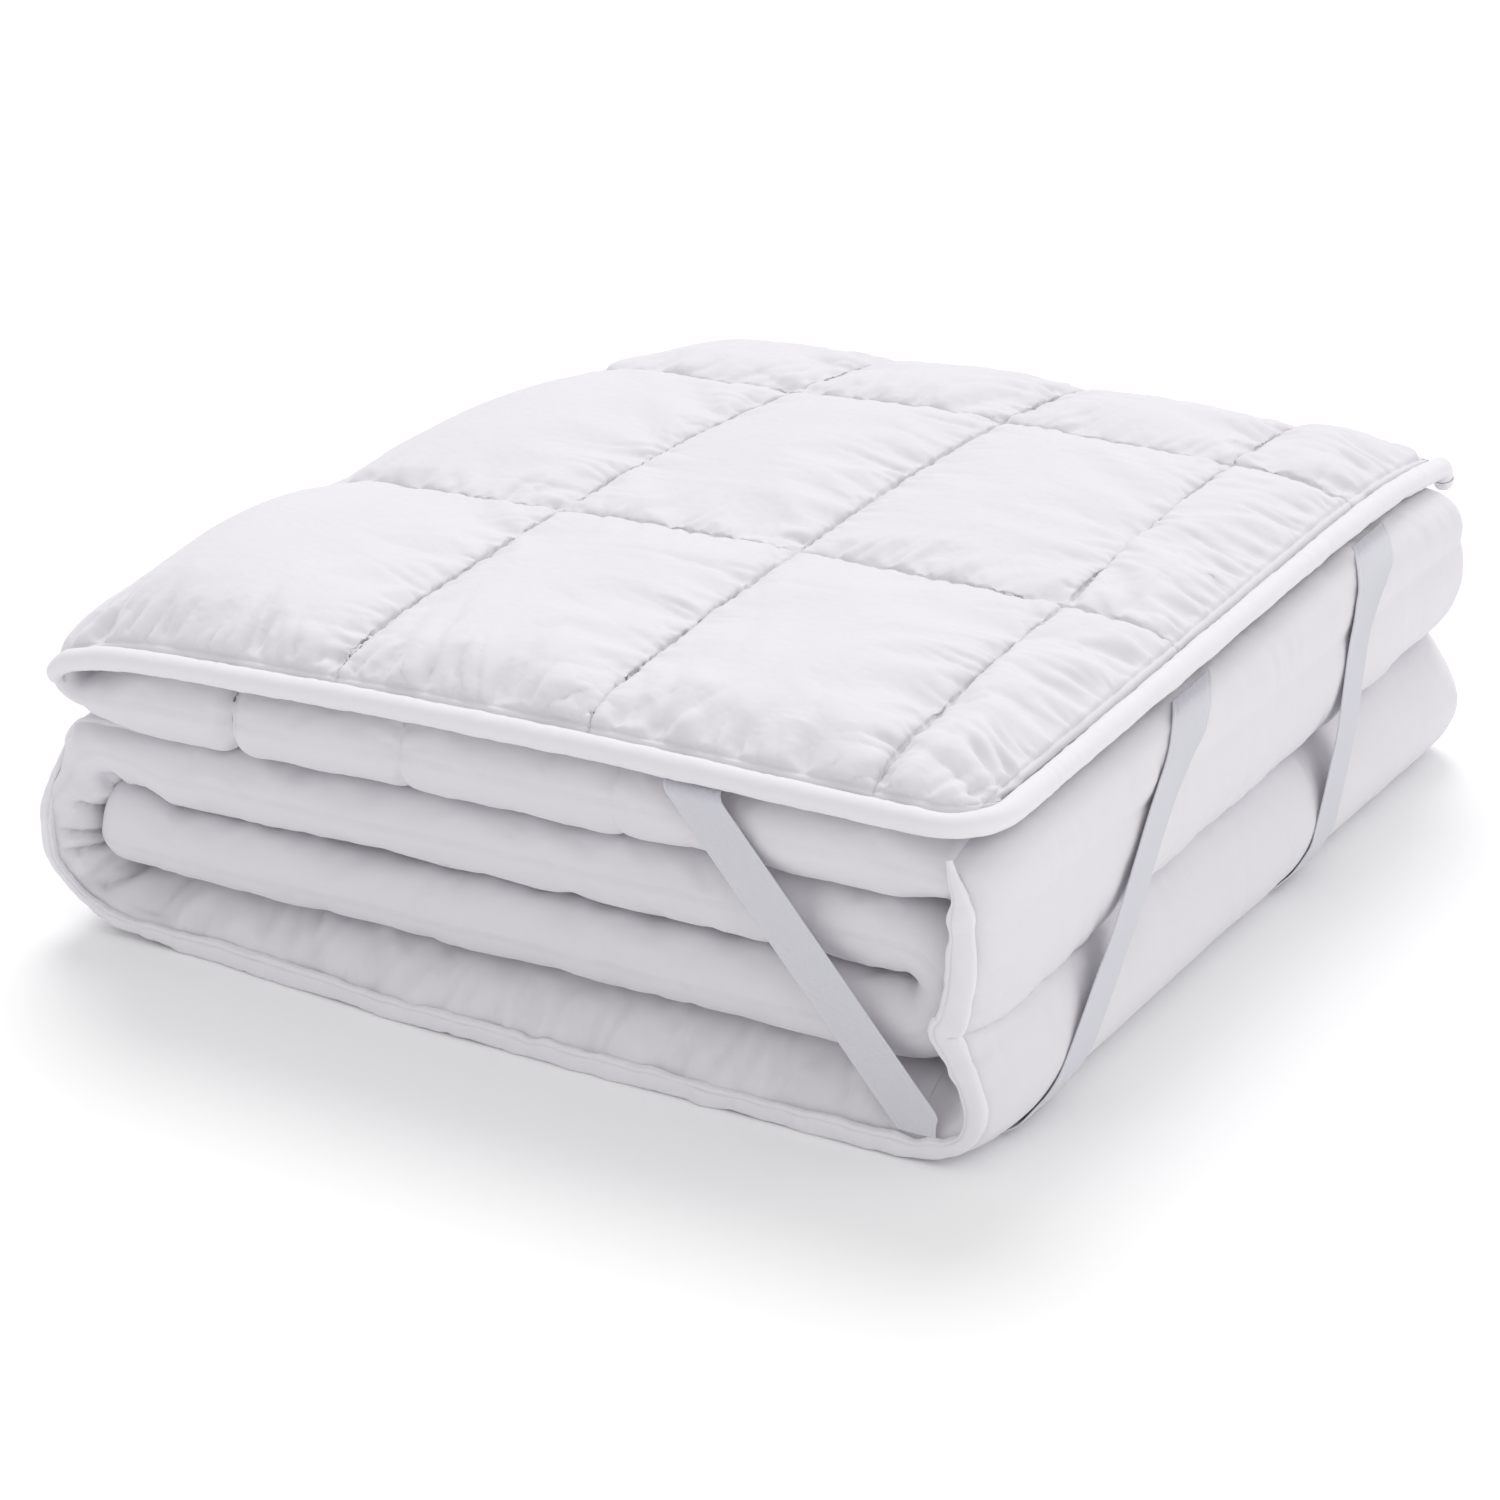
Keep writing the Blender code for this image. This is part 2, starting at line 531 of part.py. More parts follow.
def build_side_strap(name, tree, collection):
    """An elastic down the right side, from under the piping to under the bundle's foot."""
    top_y, foot_y, bow = SIDE_STRAPS[name]

    def middle_y(z):
        w = (z - SIDE_STRAP_ENDS[0]) / (SIDE_STRAP_ENDS[1] - SIDE_STRAP_ENDS[0])
        return foot_y + (top_y - foot_y) * w - bow * math.sin(math.pi * w**3)

    lines = []
    for across in (-1, 0, 1):
        hits = []
        for z, press in SIDE_STRAP_STATIONS:
            lean = min((middle_y(z + 0.001) - middle_y(z - 0.001)) / 0.002, SIDE_STRAP_MOST_LEAN)
            y = middle_y(z) + across * STRAP_WIDE / 2 * math.hypot(1.0, lean)
            inwards = Vector((-1.0, 0.0, -press))
            start = Vector((SIDE_STRAP_TOP_X + SKEW * y, y, z)) - inwards * RAY_START
            hits.append(tree.ray_cast(start, inwards))
        points = [hit + normal * STRAP_OFF for hit, normal, _, _ in hits]
        xs = taut([p.z for p in points], [p.x for p in points])
        lines.append([Vector((x, p.y, p.z)) for x, p in zip(xs, points)])
    # Where the cloth swells between the strap's edges, both edges stand off by as much.
    for left, middle, right in zip(*lines):
        swell = max(0.0, middle.x - (left.x + right.x) / 2)
        left.x += swell
        right.x += swell
    return make_object(name, ribbon(lines[0], lines[2]), COLOURS["elastic"], 0.6, collection)


def build_topper(collection):
    """The topper's own filled body."""
    rings = [ring(s) for s in stations_s()]
    return make_object("topper_body", loft(rings), COLOURS["shell"], 0.75, collection)


def centre_on_floor(collection):
    """Moves every piece so that the middle of the bundle's underside is at the origin."""
    points = np.array([v.co for thing in collection.objects for v in thing.data.vertices])
    low, high = points.min(axis=0), points.max(axis=0)
    middle = Vector(((low[0] + high[0]) / 2, (low[1] + high[1]) / 2, low[2]))
    for thing in collection.objects:
        thing.data.transform(Matrix.Translation(-middle))


def main():
    for thing in list(bpy.data.objects):
        bpy.data.objects.remove(thing)
    parts = bpy.data.collections.new("mattress_topper")
    bpy.context.scene.collection.children.link(parts)
    topper = build_topper(parts)
    build_piping(parts)
    build_binding(parts)
    build_front_strap(parts)
    mesh = topper.data
    tree = BVHTree.FromPolygons([v.co for v in mesh.vertices], [list(f.vertices) for f in mesh.polygons])
    for name in SIDE_STRAPS:
        build_side_strap(name, tree, parts)
    centre_on_floor(parts)


main()
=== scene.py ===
import math
import time

import bpy
import numpy as np
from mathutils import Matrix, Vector
from mathutils.bvhtree import BVHTree


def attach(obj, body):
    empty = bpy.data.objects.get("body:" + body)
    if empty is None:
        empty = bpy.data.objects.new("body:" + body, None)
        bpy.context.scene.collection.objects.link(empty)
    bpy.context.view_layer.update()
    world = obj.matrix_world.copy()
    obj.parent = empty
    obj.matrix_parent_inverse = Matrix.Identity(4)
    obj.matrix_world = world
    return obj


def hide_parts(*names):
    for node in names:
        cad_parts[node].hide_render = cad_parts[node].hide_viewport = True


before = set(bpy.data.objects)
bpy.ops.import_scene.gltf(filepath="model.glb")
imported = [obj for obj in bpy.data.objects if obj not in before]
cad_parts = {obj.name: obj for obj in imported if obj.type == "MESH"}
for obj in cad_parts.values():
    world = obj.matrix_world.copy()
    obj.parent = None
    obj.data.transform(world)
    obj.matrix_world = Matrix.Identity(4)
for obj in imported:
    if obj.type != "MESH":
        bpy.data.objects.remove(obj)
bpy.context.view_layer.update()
print("stage: frame loaded")

# sizes shared by every piece, in metres
bundle = {
    "depth": 0.618,  # from the front edge to the back folds
    "plyGap": 0.0025,
    "topRightX": 0.001,
    "leftFoldX": -0.5465,
    "sideX": 0.002,
    "hiddenFoldX": -0.041,
    "bigFoldX": -0.5150,
    "lastEndX": -0.5505,
    "lastEndRadius": 0.021,
    "lastEndRound": 0.015,  # and its radius in plan
    "sideTopRadius": 0.014,
    "sideFootRadius": 0.021,
    "edgeHalf": 0.006,  # half thickness of a bound edge
    "edgeRise": 0.052,  # how far in the ply reaches its full thickness
    "cornerRadius": 0.026,
    "backRound": 0.030,
    "middle": (0.257360, -0.314231),  # moves the corner of the bundle to the part's own frame
}
# half thickness to the quilted face and to the backing face, front setback, edge form (0 bound, 1 round),
# edge middle, trim half width
sections = {
    "top": (0.0170, 0.0170, 0.0150, 0.0, 0.0085, 0.0070),
    "leftFold": (0.0175, 0.0130, 0.0120, 0.0, 0.0060, 0.0060),
    "second": (0.0220, 0.0220, 0.0100, 1.0, -0.0020, 0.0080),
    "sideTop": (0.0140, 0.0200, 0.0092, 0.2, -0.0020, 0.0083),
    "side": (0.0140, 0.0180, 0.0092, 0.0, -0.0020, 0.0083),
    "sideFoot": (0.0160, 0.0240, 0.0060, 0.0, 0.0120, 0.0055),
    "floor": (0.0200, 0.0200, 0.0050, 0.0, 0.0135, 0.0065),
    "bigFold": (0.0130, 0.0140, 0.0060, 0.0, 0.0100, 0.0038),
    "third": (0.0230, 0.0230, 0.0160, 1.0, 0.0222, 0.0030),
    "hiddenFold": (0.0200, 0.0220, 0.0170, 1.0, 0.0100, 0.0070),
    "last": (0.0230, 0.0240, 0.0130, 1.0, 0.0100, 0.0070),
}
quiltedColumn, backingColumn, setbackColumn, formColumn, edgeColumn, trimColumn = range(6)
quilt = {
    "seamX": (-0.056, -0.222, -0.379, -0.548),
    "seamY": (0.254, 0.496),
    "drop": 0.0105,  # how deep a seam lies under the middle of a box
    "power": 0.40,
    "sideSeamZ": 0.077,  # the fold line along the right side
    "sideDent": (0.010, 0.020),  # its depth at the front and at the back
    "sideDentZ": (-0.010, 0.172),
    "sideShoulder": 0.0110,  # the swell under the piping
    "leftPuff": (0.019, 0.009),  # how much fuller the two boxes at the left fold are
    "leftPuffS": (0.42, 0.62),
}
settled = {
    "skew": 0.055,  # sideways for each metre of depth
    "skewLeft": 0.1,
    "skewFromX": -0.05,
    "leftWidth": 0.5,
    "squeezeX": (-0.20, -0.573),
    "squeeze": 0.27,
    "squeezeBaseZ": 0.140,
    "squeezeEven": 0.035,
    "backFromY": 0.40,
    "backSink": 0.26,
    "sink": 0.095,  # share of height, over sinkFromZ, that the lower plies lose at the left
    "sinkFromZ": 0.013,
    "sinkKept": 2.24,  # the plies above them take it up again, so the top stays where it is
    "shoulder": 0.018,  # how much squarer the big fold is at its upper shoulder
    "shoulderRise": 0.010,
    "shoulderX": (-0.50, 0.08),  # start and reach to the left
    "shoulderZ": (0.070, 0.068),  # start and reach upwards
    "lowShoulder": 0.009,  # and at its lower one, under lowShoulderZ
    "lowShoulderZ": 0.055,
    "floorBack": 0.012,  # how far the floor ply's front edge stands back at the left
    "floorBackX": (-0.33, 0.14),
    "floorBackZ": 0.05,
    "pinchFromX": -0.5,
    "pinchReach": 0.075,
    "pinchZ": 0.142,
    "pinch": 0.42,
    "pinchUnder": 0.3,  # share of it that the underside of the fold has
    "backSwell": 0.018,
    "drawnIn": 0.080,
    "drawnWidth": 0.55,
    "drawnFromY": 0.200,
}


def pathTable():
    # runs and quarter or half turns one after the other: start length, x, z, heading, radius
    s = sections
    floor = s["floor"][1]
    last = floor + s["floor"][0] + bundle["plyGap"] + s["last"][1]
    third = last + s["last"][0] + bundle["plyGap"] + s["third"][0]
    second = third + s["third"][1] + bundle["plyGap"] + s["second"][0]
    top = second + s["second"][1] + bundle["plyGap"] + s["top"][1]
    b = bundle
    lengths = {
        "top": b["topRightX"] - b["leftFoldX"],
        "leftFold": math.pi * (top - second) / 2,
        "second": b["sideX"] - b["sideTopRadius"] - b["leftFoldX"],
        "sideTop": math.pi / 2 * b["sideTopRadius"],
        "side": second - b["sideTopRadius"] - floor - b["sideFootRadius"],
        "sideFoot": math.pi / 2 * b["sideFootRadius"],
        "floor": b["sideX"] - b["sideFootRadius"] - b["bigFoldX"],
        "bigFold": math.pi * (third - floor) / 2,
        "third": b["hiddenFoldX"] - b["bigFoldX"],
        "hiddenFold": math.pi * (third - last) / 2,
        "last": b["hiddenFoldX"] - b["lastEndX"],
    }
    radii = {
        "leftFold": (top - second) / 2,
        "sideTop": -b["sideTopRadius"],
        "sideFoot": -b["sideFootRadius"],
        "bigFold": -(third - floor) / 2,
        "hiddenFold": -(third - last) / 2,
    }
    rows, start, x, z, heading = [], 0.0, b["topRightX"], top, math.pi
    for name in sections:
        radius, length = radii.get(name, 0.0), lengths[name]
        rows.append((start, x, z, heading, radius))
        start += length
        if radius:
            turned = heading + length / radius
            x += radius * (math.sin(turned) - math.sin(heading))
            z += radius * (math.cos(heading) - math.cos(turned))
            heading = turned
        else:
            x += length * math.cos(heading)
            z += length * math.sin(heading)
    return np.array(rows), start, top


pathRows, pathEnd, topZ = pathTable()
pathStarts = pathRows[:, 0]
startOf = dict(zip(sections, pathStarts))
endOf = dict(zip(sections, [*pathStarts[1:], pathEnd]))
sectionInset = {n: [min(0.030, 0.45 * (endOf[n] - startOf[n]))] * 2 for n in sections}
# the third ply's round front starts on the big fold's shoulder
sectionInset["bigFold"][1], sectionInset["third"][0] = 0.068, -0.046
knotLengths = np.array([[startOf[n] + a, endOf[n] - b] for n, (a, b) in sectionInset.items()]).ravel()
knotValues = np.repeat(np.array(list(sections.values())), 2, axis=0)


def valueAt(s, column):
    # a column of the sections table, joined by straight lines from one section to the next
    return np.interp(s, knotLengths, knotValues[:, column])


def middleLine(s):
    # straight runs, and arcs: x = x0 + r (sin h1 - sin h0), z = z0 + r (cos h0 - cos h1);
    # also the direction towards the quilted face
    i = np.clip(np.searchsorted(pathStarts, s, side="right") - 1, 0, len(pathRows) - 1)
    start, x, z, heading, radius = np.moveaxis(pathRows[i], -1, 0)
    d = s - start
    turns = radius != 0
    safe = np.where(turns, radius, 1.0)
    turned = heading + np.where(turns, d / safe, 0.0)
    x = x + np.where(turns, radius * (np.sin(turned) - np.sin(heading)), d * np.cos(heading))
    z = z + np.where(turns, radius * (np.cos(heading) - np.cos(turned)), d * np.sin(heading))
    return x, z, np.sin(turned), -np.cos(turned)


def unit(w):
    # w held between 0 and 1
    return np.clip(w, 0.0, 1.0)


def ease(w):
    # 1 - (1 - w)^2.4, steep at first, as filled cloth rises from an edge
    return 1 - (1 - unit(w)) ** 2.4


def nose(w):
    # the quarter circle sqrt(1 - (1 - w)^2)
    return np.sqrt(1 - (1 - unit(w)) ** 2)


def pillow(t, places, power):
    # sin(pi w)^power between neighbouring seams, so it is 0 on a seam and 1 in the middle of a box
    places = np.asarray(places)
    i = np.clip(np.searchsorted(places, t) - 1, 0, len(places) - 2)
    w = unit((t - places[i]) / (places[i + 1] - places[i]))
    return np.maximum(0.0, np.sin(math.pi * w)) ** power


def quiltDrop(x, y):
    # drop (1 - pillow across x pillow up y)
    across = sorted([0.004, -0.700, *quilt["seamX"]])
    deep = [-0.030, *quilt["seamY"], bundle["depth"] + 0.110]
    return quilt["drop"] * (1 - pillow(x, across, quilt["power"]) * pillow(y, deep, quilt["power"]))


def cornerSetback(s, r):
    # r - sqrt(r^2 - d^2): rounds a corner in plan
    d = np.maximum(0.0, r - s)
    return r - np.sqrt(np.maximum(0.0, r * r - d * d))


def frontEdge(s):
    # both ends of the ply are round in plan
    setback = valueAt(s, setbackColumn) + cornerSetback(s, bundle["cornerRadius"])
    return setback + cornerSetback(pathEnd - s, bundle["lastEndRound"])


def backingAt(s, y):
    # the section's half thickness, the shoulder under the piping, and two swells parted by a fold line
    start = startOf["sideTop"] - 0.004
    shoulder = np.sin(math.pi * unit((s - start) / 0.030)) ** 2
    backing = valueAt(s, backingColumn) + quilt["sideShoulder"] * shoulder
    _, z, towardsX, _ = middleLine(s)
    low, high = quilt["sideDentZ"]
    swell = pillow(z, [low, quilt["sideSeamZ"], high], 0.45)
    back = np.maximum(y, 0.0) / bundle["depth"]
    near, far = quilt["sideDent"]
    dent = (near + (far - near) * np.minimum(1.0, 3 * back)) * (1 - swell)
    more = settled["backSwell"] * swell * back**1.3 * np.maximum(0.0, -towardsX)
    onSide = (s > startOf["sideTop"]) & (s < endOf["sideFoot"])
    return backing + np.where(onSide, more - dent, 0.0)


def edgeMiddle(s):
    # the bound edge's middle: its place from the flat backing face, moved as far as the face has moved
    return valueAt(s, backingColumn) - backingAt(s, 0.0 * s) - valueAt(s, edgeColumn)


def halfFaces(s, front, y):
    # thin bound edge: middle +- (e nose(front / e) + (full - e) ease(front / rise));
    # round fold: full nose(front / full)
    quilted, backing = valueAt(s, quiltedColumn), backingAt(s, y)
    form = valueAt(s, formColumn)
    x, _, _, _ = middleLine(s)
    quilted = quilted - np.where(s < endOf["leftFold"], quiltDrop(x, y), 0.0)
    # the boxes at the left fold bulge: puff sin^2(pi w) sin(pi y / box)
    low, high = quilt["leftPuffS"]
    bulge = np.sin(math.pi * unit((s - low) / (high - low))) ** 2
    for puff, near, far in zip(quilt["leftPuff"], (0.0, *quilt["seamY"]), quilt["seamY"]):
        quilted = quilted + puff * bulge * np.sin(math.pi * unit((y - near) / (far - near)))
    middle = edgeMiddle(s) * (1 - form)
    e = bundle["edgeHalf"]
    faces = []
    for sign, full in ((1, quilted), (-1, backing)):
        rest = np.maximum(0.0, full - sign * middle - e)
        thin = middle + sign * (e * nose(front / e) + rest * ease(front / bundle["edgeRise"]))
        faces.append(form * sign * full * nose(front / full) + (1 - form) * thin)
    shrink = nose((bundle["depth"] - y) / bundle["backRound"])
    faces = [f * shrink for f in faces]
    # the top ply's right end, where it thins to the piping
    thick = 0.35 * e + 0.65 * e * nose(s / e)
    rise = ease(s / bundle["edgeRise"])
    low = -sections["top"][edgeColumn]
    upper, under = low + np.minimum(thick, faces[0] - low), low + np.maximum(-thick, faces[1] - low)
    near = s < bundle["edgeRise"]
    faces = [np.where(near, a + (f - a) * rise, f) for a, f in zip((upper, under), faces)]
    tail = np.maximum(0.03, nose((pathEnd - s) / bundle["lastEndRadius"]))
    return [f * tail for f in faces]


def settle(x, y, z):
    # the neat stack as it has settled: lower to the left and at the back, skewed and drawn in;
    # then moved to the bundle's own middle
    p, depth = settled, bundle["depth"]
    left = unit(-x / p["leftWidth"])
    squeezeFrom, squeezeTo = p["squeezeX"]
    squeezed = np.clip((squeezeFrom - x) / (squeezeFrom - squeezeTo), 0.0, 1.1) ** 1.7
    sunk = p["sink"] * left**1.3
    share = p["squeeze"] * squeezed + p["squeezeEven"] * left - p["sinkKept"] * sunk
    low = np.minimum(z, p["squeezeBaseZ"])
    high = z - low
    back = unit((y - p["backFromY"]) / (depth - p["backFromY"]))
    upper = high * (1 - share) * (1 - p["backSink"] * back**3)
    settledZ = low - sunk * np.maximum(0.0, low - p["sinkFromZ"]) + upper
    pinch = p["pinch"] * np.clip((p["pinchFromX"] - x) / p["pinchReach"], 0.0, 1.2) ** 2
    pinch = pinch * np.where(settledZ > p["pinchZ"], 1.0, p["pinchUnder"])
    settledZ = np.where(high > 0, settledZ + (p["pinchZ"] - settledZ) * pinch, settledZ)
    # the big fold's upper shoulder: sin(pi d) h outwards and 16 d (1 - d) h (1 - h) upwards
    (fromX, reachX), (fromZ, reachZ) = p["shoulderX"], p["shoulderZ"]
    d, h = unit((fromX - x) / reachX), unit((z - fromZ) / reachZ) * (high <= 0)
    settledZ = settledZ + p["shoulderRise"] * 16 * d * (1 - d) * h * (1 - h)
    lean = p["skewLeft"] + (1 - p["skewLeft"]) * unit(1 - x / p["skewFromX"])
    drawn = (np.maximum(0.0, y - p["drawnFromY"]) / (depth - p["drawnFromY"])) ** 1.5
    drawn = p["drawnIn"] * unit(-x / p["drawnWidth"]) * drawn
    square = p["shoulder"] * h + p["lowShoulder"] * unit(1 - z / p["lowShoulderZ"])
    x = x + p["skew"] * lean * y + drawn - square * np.sin(math.pi * d)
    floorFrom, floorReach = p["floorBackX"]
    setBack = p["floorBack"] * unit((floorFrom - x) / floorReach) * unit(1 - z / p["floorBackZ"])
    y = y + setBack * unit(1 - y / depth)
    mx, my = bundle["middle"]
    return np.stack([x + mx, y + my, np.maximum(settledZ, 0.0)], axis=-1)


def softNoise(u, v, seed):
    # random values on a unit grid joined by smooth steps, from -1 to 1
    table = np.random.default_rng(seed).uniform(-1, 1, (128, 128))
    iu, iv = np.floor(u).astype(int), np.floor(v).astype(int)
    fu, fv = u - iu, v - iv
    fu, fv = fu * fu * (3 - 2 * fu), fv * fv * (3 - 2 * fv)
    a, b = table[iu % 128, iv % 128], table[(iu + 1) % 128, iv % 128]
    c, d = table[iu % 128, (iv + 1) % 128], table[(iu + 1) % 128, (iv + 1) % 128]
    return (a * (1 - fu) + b * fu) * (1 - fv) + (c * (1 - fu) + d * fu) * fv


# the puckers' wave, height and reach
gatherWaves = ((0.0070, 0.00075, 0.013), (0.0115, 0.00170, 0.028), (0.021, 0.0021, 0.048))


def gathers(t, d, seed, height=1.0, reach=1.0):
    # puckers that start on a stitch line: sum over waves of |noise along it|,
    # times a rise and a fall away from it
    total = np.zeros(np.broadcast(t, d).shape)
    away = np.abs(d)
    for k, (wave, amount, fall) in enumerate(gatherWaves):
        lean = 0.55 * softNoise(t / 0.06, 0 * t, seed + k)
        along = t + lean * away
        ridge = 1.7 * np.abs(softNoise(along / wave, away / (7 * wave), seed + 10 + k)) - 0.6
        patch = 0.35 + 1.3 * (0.5 + 0.5 * softNoise(along / (2.6 * wave), 0 * t + 3.5, seed + 20 + k))
        far = fall * reach * patch
        total += amount * ridge * np.exp(-((away / far) ** 1.3)) * (1 - np.exp(-away / (0.30 * wave)))
    return height * total


def crumple(u, v, seed, wave, turn):
    # soft creases: 1 - |noise| on coordinates that are stretched, turned and bent by a slower noise
    c, s = math.cos(turn), math.sin(turn)
    bentU = u + 0.35 * wave * softNoise(u / (1.3 * wave), v / (1.3 * wave), seed + 1)
    bentV = v + 0.35 * wave * softNoise(u / (1.3 * wave), v / (1.3 * wave), seed + 2)
    a, b = c * bentU + s * bentV, -s * bentU + c * bentV
    ridge = 1 - 2 * np.abs(softNoise(a / wave, b / (3.2 * wave), seed + 3))
    return ridge * (0.5 + 0.5 * softNoise(u / (2.5 * wave), v / (2.5 * wave), seed + 4))


def groove(d, wide, deep):
    # -deep exp(-(d / wide)^2)
    return -deep * np.exp(-((d / wide) ** 2))


def graded(low, high, step, fine=(), fineStep=0.0008):
    # even steps from low to high, with closer steps either side of each seam in fine
    found = list(np.linspace(low, high, max(2, int(round((high - low) / step)) + 1)))
    for at in fine:
        if low - 0.001 < at < high + 0.001:
            found = [f for f in found if abs(f - at) > 2.7 * fineStep]
            found += [at + k * fineStep for k in (-2, -1, 0, 1, 2) if low <= at + k * fineStep <= high]
    return np.array(sorted(set(np.round(found, 6))))


stitchIn = 0.0026  # the stitch line, this far in from the piping
edgeSteps = [0.0, 0.0006, 0.0013, 0.0020, stitchIn, 0.0032, 0.0039, 0.0047]
edgeSteps += [0.0060, 0.0075, 0.0092, 0.0110, 0.0130, 0.0150]
looseSteps = [0.0, 0.0012, stitchIn, 0.0056, 0.0080, 0.0105]  # the same stretch of the loose cloth
backSteps = [0.028, 0.022, 0.017, 0.0125, 0.009, 0.006, 0.0035, 0.0015, 0.0004, 0.0]


def acrossStations(step, reach, coarse, fine=()):
    # distances from the front edge: close steps to reach, then coarse ones to the rounded back end
    depth = bundle["depth"]
    found = [*edgeSteps, *graded(0.0168, reach, step, fine)]
    if reach < depth - 0.04:
        found += list(graded(reach + coarse, depth - 0.034, coarse))
    return np.array(found + [depth - d for d in backSteps])


def plyPoints(lengths, across):
    # across is the distance in from the front edge: over 0 on the quilted face, under 0 on the backing
    s, u = np.asarray(lengths)[:, None], np.abs(across)[None, :]
    yFront = frontEdge(s)
    y = u + yFront * (1 - unit(u / 0.05))
    x, z, tx, tz = middleLine(s)
    quilted, backing = halfFaces(s + 0 * y, y - yFront, y)
    off = np.where(across >= 0, quilted, backing)
    return settle(x + tx * off, y, z + tz * off), s + 0 * y, y, y - yFront


def ringAcross(quiltedAcross, backingAcross):
    # round a ring: the quilted face from front to back, then the backing face from back to front
    return np.concatenate([quiltedAcross, -backingAcross[-2:0:-1]])


def smoothAt(values, at, wanted):
    # cubic Hermite curves through the rows of values, each row's slope taken from its neighbours
    slope = np.gradient(values, at, axis=0)
    i = np.clip(np.searchsorted(at, wanted, side="right") - 1, 0, len(at) - 2)
    h = (at[i + 1] - at[i])[:, None, None]
    t = unit((wanted - at[i]) / (at[i + 1] - at[i]))[:, None, None]
    first = (2 * t**3 - 3 * t**2 + 1) * values[i] + (t**3 - 2 * t**2 + t) * h * slope[i]
    return first + (3 * t**2 - 2 * t**3) * values[i + 1] + (t**3 - t**2) * h * slope[i + 1]


def gridNormals(points):
    # cross product of the steps along the ply and round the ring, pointing away from the ring's middle
    alongPly = np.gradient(points, axis=0)
    roundRing = np.roll(points, -1, axis=1) - np.roll(points, 1, axis=1)
    normal = np.cross(alongPly, roundRing)
    normal /= np.maximum(1e-12, np.linalg.norm(normal, axis=-1, keepdims=True))
    outwards = points - points.mean(axis=1, keepdims=True)
    return normal * (1.0 if (normal * outwards).sum() > 0 else -1.0)


def makeMesh(name, points, quads, caps, uv):
    # from_pydata with the caps as extra faces, and the cloth coordinates at every corner
    mesh = bpy.data.meshes.new(name)
    mesh.from_pydata(points.reshape(-1, 3).tolist(), [], quads.tolist() + [list(f) for f in caps])
    mesh.shade_smooth()
    # the rim of each cap is a sharp edge, so a cap doesn't turn the side's shading
    ends = np.empty(2 * len(mesh.edges), np.int32)
    mesh.edges.foreach_get("vertices", ends)
    ends, rim = ends.reshape(-1, 2), len(caps[0])
    sharp = (ends.max(axis=1) < rim) | (ends.min(axis=1) >= len(mesh.vertices) - rim)
    mesh.attributes.new("sharp_edge", "BOOLEAN", "EDGE").data.foreach_set("value", sharp)
    layer = mesh.uv_layers.new(name="clothUv")
    loops = np.empty(len(mesh.loops), np.int32)
    mesh.loops.foreach_get("vertex_index", loops)
    layer.data.foreach_set("uv", uv.reshape(-1, 2)[loops].astype(np.float32).ravel())
    mesh.validate()
    mesh.update()
    thing = bpy.data.objects.new(name, mesh)
    bpy.context.scene.collection.objects.link(thing)
    return thing


def gridQuads(rows, columns, closedRound=True):
    # corner numbers of each quad between neighbouring rings
    j = np.arange(columns if closedRound else columns - 1)
    i = np.arange(rows - 1)[:, None]
    a, b = i * columns + j, i * columns + (j + 1) % columns
    return np.stack([a, b, b + columns, a + columns], axis=-1).reshape(-1, 4)


def facesOut(thing):
    # flips every face where the closed mesh's signed volume is negative
    mesh = thing.data
    mesh.calc_loop_triangles()
    corners = np.empty(len(mesh.loop_triangles) * 3, np.int32)
    mesh.loop_triangles.foreach_get("vertices", corners)
    co = np.empty(len(mesh.vertices) * 3, np.float32)
    mesh.vertices.foreach_get("co", co)
    t = co.reshape(-1, 3)[corners.reshape(-1, 3)].astype(float)
    if np.einsum("ij,ij->i", t[:, 0], np.cross(t[:, 1], t[:, 2])).sum() < 0:
        mesh.flip_normals()


def vertexWeights(thing, name, values):
    # weights in steps of a twentieth
    group = thing.vertex_groups.new(name=name)
    steps = np.round(np.clip(values.ravel(), 0, 1) * 20).astype(int)
    for level in np.unique(steps):
        group.add(np.nonzero(steps == level)[0].tolist(), float(level) / 20, "REPLACE")


clothPlan = {
    "hold": 0.05,  # how strongly loose cloth is kept near the ply
    "bend": 30,
    "grow": 0.085,  # spare cloth, as a share of its length
    "pressure": 2.0,
    "frames": 14,
    "most": 0.012,  # the farthest that a point may move
    "share": 0.7,  # of the move that is kept
}


